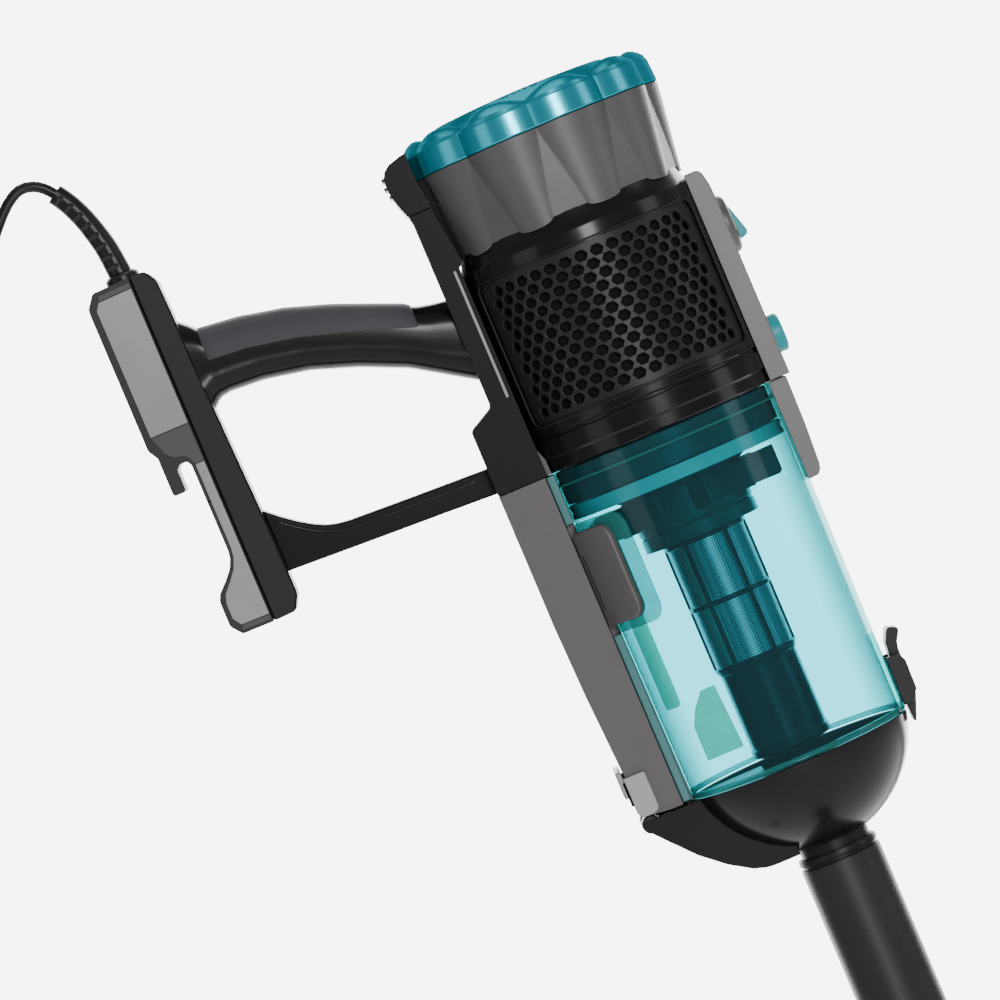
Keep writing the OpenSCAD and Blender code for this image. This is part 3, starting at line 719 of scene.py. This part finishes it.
def honeycomb(side, tag, node):
    """A curved sheet of hexagonal holes, staggered from row to row."""
    pitch, row_pitch, r = 7.48, 5.06, R_HOUSE - 0.75
    cell = [(3.74, 1.148), (0, 3.912), (-3.74, 1.148), (-3.74, -1.148), (0, -3.912), (3.74, -1.148)]
    hole = [(3.04, 0), (1.52, 2.22), (-1.52, 2.22), (-3.04, 0), (-1.52, -2.22), (1.52, -2.22)]
    order = [(kind, i) for i in range(6) for kind in "hc"]      # a hole's corner, then a cell's
    faces, verts = [], []
    middle = (WINDOW[0] + WINDOW[1]) / 2

    def corner(x, z):
        verts.append(on_wall(x / R_HOUSE, z, r, side))
        return len(verts) - 1
    for row in range(-1, 13):
        shift = 0.5 if row % 2 else 0
        for column in range(-9, 10):
            x = pitch * (column + shift)
            z = middle + row_pitch * (row - 5.5)
            open_hole = 0 <= row < 12 and abs(x) < 54.5
            outer = [corner(x + cx, z + cz) for cx, cz in cell]
            if not open_hole:
                faces.append(outer)
                continue
            inner = [corner(x + hx, z + hz) for hx, hz in hole]
            seq = [inner[i] if kind == "h" else outer[i] for kind, i in order]
            for i in range(12):
                a, b, c = seq[i - 1], seq[i], seq[(i + 1) % 12]
                if order[i][0] == "c":
                    faces.append([a, b, c])
                else:
                    faces.append([a, c, b])
    ob = raw("honeycomb_" + tag, (verts, faces), UNIT)
    # the sheet faces outwards, and its thickness goes inwards
    bm = bmesh.new()
    bm.from_mesh(ob.data)
    bm.normal_update()
    centre = at(0, 0, 0, UNIT)
    for f in bm.faces:
        out = f.calc_center_median() - centre
        out.z = 0
        if f.normal.dot(out) < 0:
            f.normal_flip()
    bm.to_mesh(ob.data)
    bm.free()
    thick = ob.modifiers.new("thick", "SOLIDIFY")
    thick.thickness = 2.0 * MM
    thick.offset = -1
    applied(ob)
    softened(ob, 0.28, 1, 50)
    finished(ob, "grille", 30)
    placed(ob, "hand_unit", [node])


housing()
honeycomb(-1, "near", "grille_left")
honeycomb(1, "far", "grille_right")
on_unit("exhaust_foam", lathe([(43.6, 17), (49.2, 17), (49.2, 86), (43.6, 86)], 96), "black_foam",
        slot="filter_foam")


# ---- rear spine, its cover, the handle ----
def spine():
    side = [(-53, 0.05), (-75.7, 0.05), (-76, 0.6), (-76, 29.5), (-74.8, 31), (-64.8, 36.4), (-64, 38),
            (-64, 122), (-64.6, 126), (-50, 126), (-50, 100), (-53, 98)]
    round_cut = lathe([(0, -1), (54.35, -1), (54.35, 99.4), (54.6, 99.5), (59.5, 139.4), (59.5, 170),
                       (0, 170)], 96, False)
    on_unit("spine_body", prism(side, -20, 20), "shade", ["rear_spine"], "gloss_black", cuts=[round_cut],
            bevel=1.1)
    strip = [(-54.9, 38), (-56.2, 38), (-56.2, 97), (-54.9, 97)]
    on_unit("spine_seam", both(prism(strip, 19.6, 20.4)), "handle", slot="handle_grey", bevel=0.2)
    cover = [(-50, 126.2), (-64.9, 126.2), (-66.6, 131), (-68, 136), (-68.6, 141), (-68.4, 145),
             (-66.8, 148), (-64, 150.2), (-58, 151.9), (-50, 152.8)]
    ribs = [block(x, -17, z, -64, 17, z + 1.5) for x, z in ((-69.0, 136.4), (-69.8, 140.4), (-69.4, 144.4))]
    foot = [(-55, 0.2), (-50.9, 0.2), (-51, 6.6), (-53.2, 13), (-54.8, 14.6)]
    # the foot is handle-grey plastic, and its darker grey is painted shade
    on_unit("spine_foot", both(prism(foot, 16.5, 19.4)), "slope", slot="handle_grey", bevel=0.3)
    on_unit("spine_cap", prism(cover, -22, 22), "shade", ["spine_cover"], "latch_black", cuts=[round_cut],
            bevel=1.2)
    on_unit("spine_ribs", join(*ribs), "satin", slot="latch_black", bevel=0.4, steps=2)
    bracket = [(-53.6, 109), (-56.8, 118.8), (-55.4, 121), (-51.8, 108.4), (-50.4, 98.6), (-51.4, 97.6)]
    on_unit("spine_brace", both(prism(bracket, 14.5, 17.5)), "bezel", slot="bezel_grey", bevel=0.5)


def oval(x, top, low, wide, power=0.8, count=48, start=0.0, end=1.0):
    """Points of a rounded cross-section in the YZ plane at x."""
    out = []
    for i in range(count):
        a = FULL * (start + (end - start) * i / (count if end - start == 1 else count - 1))
        c, s = cos(a), sin(a)
        out.append((x, wide * copysign(abs(c) ** power, c),
                    (top + low) / 2 + (top - low) / 2 * copysign(abs(s) ** power, s)))
    return out


def between(points, x):
    """The height at x of a line through (x, z) points with rising x."""
    for (x0, z0), (x1, z1) in zip(points, points[1:]):
        if x <= x1:
            return z0 + (z1 - z0) * (x - x0) / (x1 - x0)
    return points[-1][1]


def grip():
    top = [(-175.2, 125), (-170, 120.5), (-168, 118.4), (-150, 116.3), (-130, 112), (-110, 105.3),
           (-90, 97), (-76, 91), (-62, 88)]
    low = [(-175.2, 81.5), (-170, 86.3), (-165, 87), (-150, 86), (-130, 82), (-110, 75), (-90, 66),
           (-76, 57), (-62, 48)]
    split = [(-168, 103.2), (-150, 101.5), (-130, 97.5), (-110, 91.5), (-90, 85), (-80, 81.5)]
    wide, power = 14.6, 0.72        # half the section's width, and how square its corners are
    xs = [-175.2 + i * (175.2 - 55) / 60 for i in range(61)]
    rings = []
    for x in xs:
        t, b = between(top, x), between(low, x)
        shrink = 1.2 if x > -168 else 0
        rings.append(oval(x, t - shrink, b, wide, power))
    on_unit("grip_body", loft(rings), "gloss", ["grip_core"], "gloss_black", angle=40,
            cuts=[lathe([(0, 20), (54.4, 20), (54.4, 99), (0, 99)], 64, False)])
    # the soft cover is the upper part of the grip's section, a little proud of it
    shell = []
    steps = 40
    first, last = -168.6, -79
    for i in range(steps + 1):
        x = first + (last - first) * i / steps
        t, b = between(top, x), between(low, x)
        mid, tall = (t + b) / 2, (t - b) / 2
        lift = 0.2 if i in (0, steps) else 0.9
        cut_at = (between(split, x) - mid) / tall
        cut_at = max(-0.9, min(0.9, cut_at))
        a0 = asin(copysign(abs(cut_at) ** (1 / power), cut_at))
        arc, under = [], []
        for k in range(25):
            a = a0 + (pi - 2 * a0) * k / 24
            c, s = cos(a), sin(a)
            y = copysign(abs(c) ** power, c)
            z = copysign(abs(s) ** power, s)
            arc.append((x, (wide + lift) * y, mid + (tall + lift - 0.9) * z))
            under.append((x, (wide - 2) * y, mid + (tall - 3) * z))
        shell.append(arc + under[::-1])
    on_unit("grip_pad", loft(shell), "soft", ["grip_cover"], "grip_soft", bevel=0.5, steps=2, angle=45,
            limit=50)


def lower_arm():
    top = [(-173, 34.4), (-166, 28.3), (-160, 23.7), (-155, 20.4), (-150, 17.9), (-145, 16.4), (-140, 15.7),
           (-120, 14.7), (-100, 13.8), (-76, 12.8), (-68, 12.6)]
    low = [(-173, 5.6), (-140, 4), (-100, 2.2), (-76, 1), (-68, 0.8)]
    xs = [-173 + i * 105 / 50 for i in range(51)]
    outline = [(x, between(top, x)) for x in xs] + [(x, between(low, x)) for x in reversed(xs)]
    on_unit("arm_body", prism(outline, -10, 10), "shade", ["lower_arm"], "gloss_black", bevel=2.2, steps=4,
            limit=45)
    ridge = [(x, between(top, x) - 3.4) for x in xs[2:44]]
    rib = [(x, z + 0.45) for x, z in ridge] + [(x, z - 0.45) for x, z in reversed(ridge)]
    on_unit("arm_ridge", both(prism(rib, 9.4, 10.4)), "gloss", slot="gloss_black", bevel=0.3, steps=2)


def rear_handle():
    shell = [(-203.6, 149.2), (-207.6, 143.7), (-208, 142), (-208, 77), (-205.4, 72.6), (-205.4, 55.2),
             (-204.6, 54.7), (-200.3, 54.7), (-199.5, 55.5), (-199.5, 64.5), (-197.6, 66.7), (-194.6, 66.7),
             (-193, 64.6), (-193, 24), (-193.6, 20.5), (-195.4, 16.6), (-199, 12.5), (-203.5, 8.2),
             (-204.8, 5.4), (-205, 2.6), (-205, -6), (-204.4, -7.4), (-201, -11.6), (-186.6, -11.8),
             (-186.6, 149.7)]
    # the shell shows only on its bevels round the plates, and its dark colour there is painted shade
    on_unit("handle_shell", prism(shell, -15, 15), "handle_bevel_painted_shade", ["handle_housing"], "handle_grey",
            bevel=2.7, steps=1, limit=25, angle=20)
    upper = [(-204.7, 82), (-204.7, 141.4), (-202.6, 144.6), (-187.2, 144.9), (-187.2, 82)]
    stem = [(-191.3, 64), (-191.3, 25), (-191.9, 20.5), (-193.8, 16), (-197.4, 11.4), (-201.4, 7),
            (-202.6, 3), (-202.6, -4), (-200, -7.6), (-187.2, -7.8), (-187.2, 64)]
    slopes = [[(-204.5, 81.6), (-187.2, 81.6), (-187.2, 64.4), (-191.4, 64.4), (-192.6, 67.6), (-195, 69.6),
               (-198.8, 70.2), (-201.8, 73.4)],
              [(-202.6, 145), (-187.2, 145.3), (-187.2, 147.6), (-201.4, 147.2)],
              [(-199.9, -8), (-187.2, -8.2), (-187.2, -10.4), (-200.6, -10)]]
    on_unit("handle_plates", both(join(prism(upper, 14, 15.25), prism(stem, 14, 15.25))), "handle",
            slot="handle_grey", bevel=0.2, steps=2)
    # the sloped faces are thin flat plates, and their darker grey is painted shade
    on_unit("handle_slopes", both(join(*[prism(outline, 14, 15.2) for outline in slopes])), "slope",
            slot="handle_grey", bevel=0.15, steps=2)
    inner = [(-186.4, 149.7), (-180.2, 149.7), (-178.6, 148.9), (-175.7, 144), (-175.2, 130), (-175, 110),
             (-174, 66), (-172.6, 20), (-172.5, -4), (-173, -5.6), (-176, -11.4), (-186.4, -11.8)]
    on_unit("handle_frame", prism(inner, -14.4, 14.4), "satin", ["handle_inner"], "gloss_black", bevel=3.0,
            steps=1, limit=25, angle=20)
    on_unit("handle_joint", block(-187.1, -13.6, -10.6, -186.0, 13.6, 148.6), "dark", slot="gloss_black")
    on_unit("handle_line", both(block(-192.9, 14.2, 46.6, -186.8, 15.12, 47.2)), "dark", slot="gloss_black")
    screws = [round_y([(14.2, 2.3), (14.7, 2.3), (14.9, 2.0)], x, z, 32) for x,
              z in ((-180.5, 138), (-180, -4))]
    on_unit("handle_screws", join(*screws), "steel", slot="steel")


spine()
grip()
lower_arm()
rear_handle()


# ---- front panel, rocker, release button ----
def front():
    panel = [(50, 0.1), (60.7, 0.1), (61, 0.6), (61, 84), (60.7, 89), (59.6, 94.4), (58.2, 96.2),
             (56.8, 96.5), (50, 96.5)]
    round_cut = lathe([(0, -1), (R_HOUSE + 0.15, -1), (R_HOUSE + 0.15, 120), (0, 120)], 128, False)
    button_well = round_x([(57, 9), (70, 9)], 0, 18, 64)
    on_unit("panel_body", prism(panel, -17, 17), "panel", ["front_panel"], "panel_grey",
            cuts=[round_cut, button_well], bevel=1.4)
    on_unit("panel_shadow", both(prism([(52.5, 14), (57.4, 14), (57.4, 95), (52.5, 95)], 12, 16.6)), "dark",
            slot="gloss_black")
    bezel = round_x([(60.6, 13.1), (62.6, 13.1), (63.9, 12.3), (64.6, 10.8), (64.2, 10.2), (63.4, 9.6)], 0,
                    70, 96)
    on_unit("rocker_ring", bezel, "bezel", ["rocker_bezel"], "bezel_grey", cuts=[block(59, -6.5, 60.5, 70,
                                                                                       6.5, 79.5)],
            bevel=0.3, steps=2)
    rocker = [(58, 76.2), (58, 63.8), (62, 61.6), (66, 61.9), (68.2, 62.8), (68.8, 64), (68.2, 66.4),
              (65.4, 75.8), (64.6, 77.8), (63.6, 78.8), (61.4, 78.9)]
    piece("rocker_key", prism(rocker, -6.1, 6.1), "button", "rocker", UNIT, ["power_rocker"], "cap_teal",
          bevel=0.7)
    button = round_x([(60.7, 8.6), (64.9, 8.6), (65.9, 8.0), (66.3, 6.9), (66.3, 5.6), (65.7, 4.4),
                      (65.5, 2.6)], 0, 18, 96)
    piece("release_key", button, "button", "release_button", UNIT, ["bin_button"], "cap_teal", angle=45)


front()


# ---- dust bin ----
def shell_r(z):
    return 51 + 1.4 * z / 154


def bin_parts():
    wall = [(shell_r(0), 0.6), (shell_r(1), 1.2), (shell_r(150), 150), (52.4, 153.6), (51.9, 154),
            (50.3, 154), (shell_r(150) - 2.2, 150), (shell_r(1) - 2.2, 1.2), (49.4, 0.2), (50.4, 0.2)]
    on_bin("clear_shell", lathe(wall, 160), "clear", ["bin_shell"], "bin_clear", angle=40)
    rim = [(49.9, 147.2), (shell_r(148) + 0.25, 147.2), (shell_r(148) + 0.25, 148.2), (49.9, 148.2)]
    on_bin("shell_step", lathe(rim, 160), "teal_clear", slot="teal_clear", angle=30)
    foot = [(48.9, 0.6), (51.5, 0.6), (51.6, 1.2), (51.5, 2.6), (48.9, 2.6)]
    on_bin("shell_foot", lathe(foot, 160), "teal_clear", slot="teal_clear", angle=30)
    duct = [(-48, 154), (-75.6, 154), (-76, 153.4), (-76, 92), (-75.2, 60), (-72.7, 8), (-72.2, 4.6),
            (-70.8, 2.6), (-68, 1.3), (-60, 0.3), (-46, 0.1)]
    round_cut = lathe([(0, -2), (51.3, -2), (52.7, 160), (0, 160)], 128, False)
    sides = both(block(-54.2, 14.5, -2, -40, 25, 160))
    on_bin("duct_body", prism(duct, -19, 19), "duct", ["duct_panel"], "duct_grey", cuts=[round_cut, sides],
           bevel=1.8, steps=4)
    rails = both(join(block(-54, 15.2, 1, -50.2, 18.6, 79), block(-54, 15.2, 131, -50.2, 18.6, 153.8)))
    on_bin("shell_rails", rails, "rail", slot="teal_clear", bevel=0.6)
    lug = [(44, 154), (58.9, 154), (59.1, 153.4), (58.8, 132), (57.8, 113.4), (57.2, 111), (55.6, 108.9),
           (52, 108.6), (44, 108.6)]
    on_bin("lug_body", prism(lug, -14, 14), "panel", ["bin_lug"], "panel_grey",
           cuts=[lathe([(0, 90), (52.6, 90), (52.6, 160), (0, 160)], 128, False)], bevel=1.3)


def wall_tab(r0, r1, a0, a1, z0, z1, corner, steps=20):
    """A curved tab on the bin's wall with round corners at one end; angles in degrees from +X."""
    rings, rows = [], []
    for i in range(steps + 1):
        a = a0 + (a1 - a0) * i / steps
        arc = radians(abs(a1 - a)) * r1
        drop = 0.0
        if arc < corner:
            drop = corner - sqrt(max(0.0, corner ** 2 - (corner - arc) ** 2))
        rows.append((radians(a), z0 + drop, z1 - drop))
    for a, low, high in rows:
        c, s = cos(a), sin(a)
        rings.append([(r0 * c, r0 * s, low), (r1 * c, r1 * s, low), (r1 * c, r1 * s, high),
                      (r0 * c, r0 * s, high)])
    return loft(rings)


def inlet():
    # the tab is the duct's grey plastic, painted lighter as painted light
    on_bin("inlet_tab", wall_tab(52.6, 57.4, 200, 227.6, 83.6, 126.8, 6), "tab", ["inlet_cover"],
           "duct_grey", bevel=1.3, limit=40, angle=40)
    on_bin("inlet_line", wall_tab(57.2, 57.5, 203.2, 203.8, 91.2, 116.6, 0.1, 4), "dark", slot="duct_grey")
    on_bin("inlet_glass", wall_tab(52.4, 54.6, 201, 236, 79.6, 130.4, 7), "teal_clear", ["inlet_frame"],
           "teal_clear", bevel=0.7, limit=40, angle=40)
    on_bin("inlet_strip", wall_tab(46.6, 48.6, 201, 215, 40.5, 128, 3), "strip", ["inlet_duct"],
           "teal_solid", bevel=0.5, limit=40, angle=40)


def clip_and_latch():
    side = [(-74.3, 20.7), (-74.3, 5), (-73.6, 3), (-71.8, 1.9), (-67.2, 1.9), (-65.2, 2.7), (-64.3, 4.6),
            (-64.3, 20), (-65, 20.7)]
    on_bin("clip_plates", both(prism(side, 18.9, 21.3)), "clip", ["hinge_bracket"], "clip_grey", bevel=0.8)
    on_bin("clip_bridge", block(-76.8, -21.2, 12, -74.2, 21.2, 24.4), "clip", slot="clip_grey", bevel=0.9)
    on_bin("clip_lines", both(block(-75.2, 21.1, 8.2, -74.2, 21.5, 19)), "dark", slot="latch_black")
    lever = [(52.4, -6.3), (53.3, -6.4), (57.6, 4.4), (58.1, 8), (58.1, 25.6), (58.8, 28.6), (61.4, 33),
             (61.1, 34.4), (57.8, 35.8), (56.4, 35.2), (53.9, 30), (53.4, 24.4), (53.2, 12), (52.3, 4)]
    piece("latch_body", prism(lever, -9, 9), "satin", "latch", BIN, ["latch_lever"], "latch_black",
          bevel=0.7)
    cheeks = [(50.8, 2), (55.4, 2), (58.6, 7), (58.9, 20), (57, 24), (51.2, 24)]
    on_bin("latch_cheeks", both(prism(cheeks, 9.5, 12.6)), "satin", ["latch_bracket"], "latch_black",
           bevel=0.5)


def cyclone():
    profile = [(0, 105.4), (26.4, 105.4), (26.4, 111), (25.6, 112), (26.4, 113), (26.4, 127.6), (28, 129.4),
               (43.8, 137.4), (44.4, 138.2), (49.2, 138.6), (49.4, 140), (49.4, 153), (48.6, 153.6),
               (42, 153.6), (42, 148.4), (0, 148.4)]
    on_bin("cyclone_shell", lathe(profile, 128, False), "cyclone", ["cyclone_body"], "cyclone_dark",
           angle=30)
    vanes = []
    for k in range(12):
        a = FULL * k / 12
        b = a + 0.16
        ring = [(26 * cos(a), 26 * sin(a)), (43.4 * cos(b), 43.4 * sin(b)),
                (43.4 * cos(b + 0.03), 43.4 * sin(b + 0.03)), (26 * cos(a + 0.05),
                                                                         26 * sin(a + 0.05))]
        vanes.append(loft([[(x, y, z) for x, y in ring] for z in (116, 128.4)]))
    on_bin("cyclone_vanes", join(*vanes), "cyclone", slot="cyclone_dark", bevel=0.3, steps=1)
    seal = [(45, 131.6), (49.4, 131.6), (49.7, 132.4), (49.1, 134.8), (49.7, 137), (49.4, 137.8),
            (45, 137.8)]
    on_bin("seal_band", lathe(seal, 128), "cyan", ["seal_ring"], "seal_cyan", angle=40)
    on_bin("screen_mesh", lathe([(17.5, 45.4), (18.1, 45.4), (18.1, 105.2), (17.5, 105.2)], 96), "mesh",
           ["mesh_screen"], "mesh_steel", angle=30)
    v, f = block(17.6, -1, 46, 19, 1, 105)
    bars = []
    for k in range(6):
        a = radians(-62 + 60 * k)
        bars.append(([(x * cos(a) - y * sin(a), x * sin(a) + y * cos(a), z) for x, y,
                      z in v], f))
    hoops = [lathe([(17.6, z), (18.9, z), (18.9, z + 2.2), (17.6, z + 2.2)], 96) for z in (45.3, 74, 102.8)]
    on_bin("screen_frame", join(*bars, *hoops), "core", slot="cyclone_dark", bevel=0.3, steps=1)
    tube_profile = [(0, 4.2), (16.5, 4.2), (18.3, 5.4), (18.3, 8), (17.6, 9), (17.6, 43.4), (18.4, 44.4),
                    (18.4, 45.2), (0, 45.2)]
    on_bin("tube_core", lathe(tube_profile, 96, False), "core", ["inner_tube"], "cyclone_dark", angle=30)
    flap = [(-37.3, 14.4), (-37.3, 30), (-34, 37), (-28.6, 43.6), (-22.2, 43.6), (-20.6, 14.4)]
    on_bin("baffle_flap", prism(flap, -31.4, -29.7), "flap", ["dust_baffle"], "teal_clear", bevel=0.5)


bin_parts()
inlet()
clip_and_latch()
cyclone()


# ---- domed bottom door ----
def dome_door():
    profile = []
    for k in range(41):
        z = -39.5 + 39 * k / 40
        profile.append((sqrt(max(0.0, 52.6 ** 2 - (z - 10.3) ** 2)), z))
    top_r = profile[-1][0]
    profile += [(top_r - 0.6, -0.2), (49.5, -0.2), (49.5, -3)]
    inner = []
    for k in range(31):
        z = -4 - 33 * k / 30
        inner.append((sqrt(max(0.0, 50.2 ** 2 - (z - 10.3) ** 2)), z))
    profile += inner + [(15.6, -37), (15.6, -39.5)]
    piece("door_dome", lathe(profile, 160), "gloss", "bottom_door", BIN, ["dome_door"], "gloss_black",
          angle=40)
    fin = [(-73.2, -0.5), (-73.5, -2), (-73.2, -4), (-71, -6.8), (-66, -12.5), (-57, -22.5), (-47, -31),
           (-37.5, -37), (-32, -38.8), (-28, -39.3), (-16, -39.3), (-16, -0.5)]
    hollow = [(-64, -6), (-55, -18), (-44, -27), (-34, -32), (-18, -34), (-18, -6)]
    piece("door_fin", prism(fin, -20.6, 20.6), "shade", "bottom_door", BIN, slot="gloss_black",
          cuts=[prism(hollow, -17.6, 17.6), block(-80, -6.5, -8, -65.4, 6.5, 2),
                block(-66, -15, -7, -52, 15, 1), lathe([(0, -60), (15.4, -60), (15.4, 1), (0, 1)], 64,
                                                       False)], bevel=1.8, steps=4, limit=40)
    knuckles = both(round_y([(6.6, 3.6), (7, 4.1), (18.8, 4.1), (19.4, 3.4)], -70.5, -2.2, 48))
    piece("door_knuckles", knuckles, "satin", "bottom_door", BIN, slot="latch_black", angle=40)


dome_door()


# ---- wand ----
def wand():
    low = wand_lo.z / MM
    top = wand_hi.z / MM
    piece("wand_body", lathe([(16.8, low), (18.0, low), (18.3, low + 0.4), (18.3, top - 0.4), (18.1, top),
                              (16.8, top)], 96), "wand", "wand", 0, ["wand_tube"], "wand_grey", angle=30)
    piece("wand_cuff", lathe([(16.4, top), (18.1, top), (18.1, top + 0.6), (17.3, top + 0.9),
                              (17.3, top + 2), (18.1, top + 2.4), (18.1, top + 4.2), (17.6, top + 5.1),
                              (16.4, top + 5.1)], 96), "satin", "wand", 0, ["wand_collar"], "neck_black",
          angle=40)


wand()
piece("spigot_tube", lathe([(14, -74.8), (15.6, -74.8), (16, -74), (16, -36.6), (14, -36.6)], 96), "satin",
      "bottom_door", BIN, ["door_spigot"], "neck_black", angle=40)

# ---- CAD nodes that keep their shape ----
FINISHES = {
    "head_cover": "head", "sole_plate": "sole", "bristle_strips": "bristle", "bumper_strip": "bumper",
    "wheel_axles": "steel", "head_screws": "steel", "wheel_left": "bumper", "wheel_right": "bumper",
    "tyre_left": "rubber", "tyre_right": "rubber", "neck_duct": "satin", "swivel_collar": "satin",
    "wand_button": "bumper", "door_gasket": "rubber", "hinge_pin": "steel", "latch_pin": "steel",
    "button_spring": "steel", "pre_filter": "foam", "fan_shroud": "satin", "motor_stator": "iron",
    "motor_shaft": "steel", "impeller": "alloy",
}
for node, finish in FINISHES.items():
    finished(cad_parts[node], finish, 30)


# ---- studio ----
def emitter(name, where, towards, size, power, colour=(1, 1, 1)):
    data = bpy.data.lights.new(name, "AREA")
    data.shape = "RECTANGLE"
    data.size, data.size_y = size
    data.energy = power
    data.color = colour
    ob = bpy.data.objects.new(name, data)
    bpy.context.scene.collection.objects.link(ob)
    ob.location = where
    ob.rotation_euler = (Vector(towards) - Vector(where)).to_track_quat("-Z", "Y").to_euler()
    return ob


def plane(name, corners, finish):
    data = bpy.data.meshes.new(name)
    data.from_pydata(corners, [], [[0, 1, 2, 3]])
    ob = bpy.data.objects.new(name, data)
    bpy.context.scene.collection.objects.link(ob)
    data.materials.append(finish)
    return ob


def backdrop_finish():
    """White and self-lit on its front, clear from behind."""
    m = new_material("backdrop_finish")
    m.node_tree.nodes.remove(m.node_tree.nodes["Principled BSDF"])
    glow = add(m, "ShaderNodeEmission", Color=(1, 0.99, 0.985, 1), Strength=7.0)
    behind = add(m, "ShaderNodeNewGeometry").outputs["Backfacing"]
    return shown(m, mixed(m, behind, glow, add(m, "ShaderNodeBsdfTransparent")))


M["floor"] = surface("floor_finish", (0.8, 0.8, 0.8), 0.6, shade=0.02)
plane("floor", [(-6, -6, 0), (6, -6, 0), (6, 6, 0), (-6, 6, 0)], M["floor"])
plane("backdrop", [(-1.6, 1.7, 0.25), (1.6, 1.7, 0.25), (1.6, 1.7, 2.3), (-1.6, 1.7, 2.3)],
      backdrop_finish())
world = bpy.data.worlds.new("studio")
bpy.context.scene.world = world
world.use_nodes = True
world.node_tree.nodes["Background"].inputs["Color"].default_value = (0.92, 0.95, 1, 1)
world.node_tree.nodes["Background"].inputs["Strength"].default_value = 0.3
middle = at(0, 0, 180, BIN)
emitter("key", middle + Vector((0.3, -1.9, 0.45)), middle, (0.42, 0.8), 17)
emitter("low_front", middle + Vector((0.02, -2.1, -0.62)), middle, (0.5, 0.3), 6)
emitter("fill", middle + Vector((-1.7, -1.2, 0.4)), middle, (0.9, 1.2), 3)
emitter("side", middle + Vector((1.8, -0.5, 0.3)), middle, (0.6, 1.2), 4)
emitter("top", middle + Vector((0, 0.2, 1.8)), middle, (1.4, 1.2), 7)
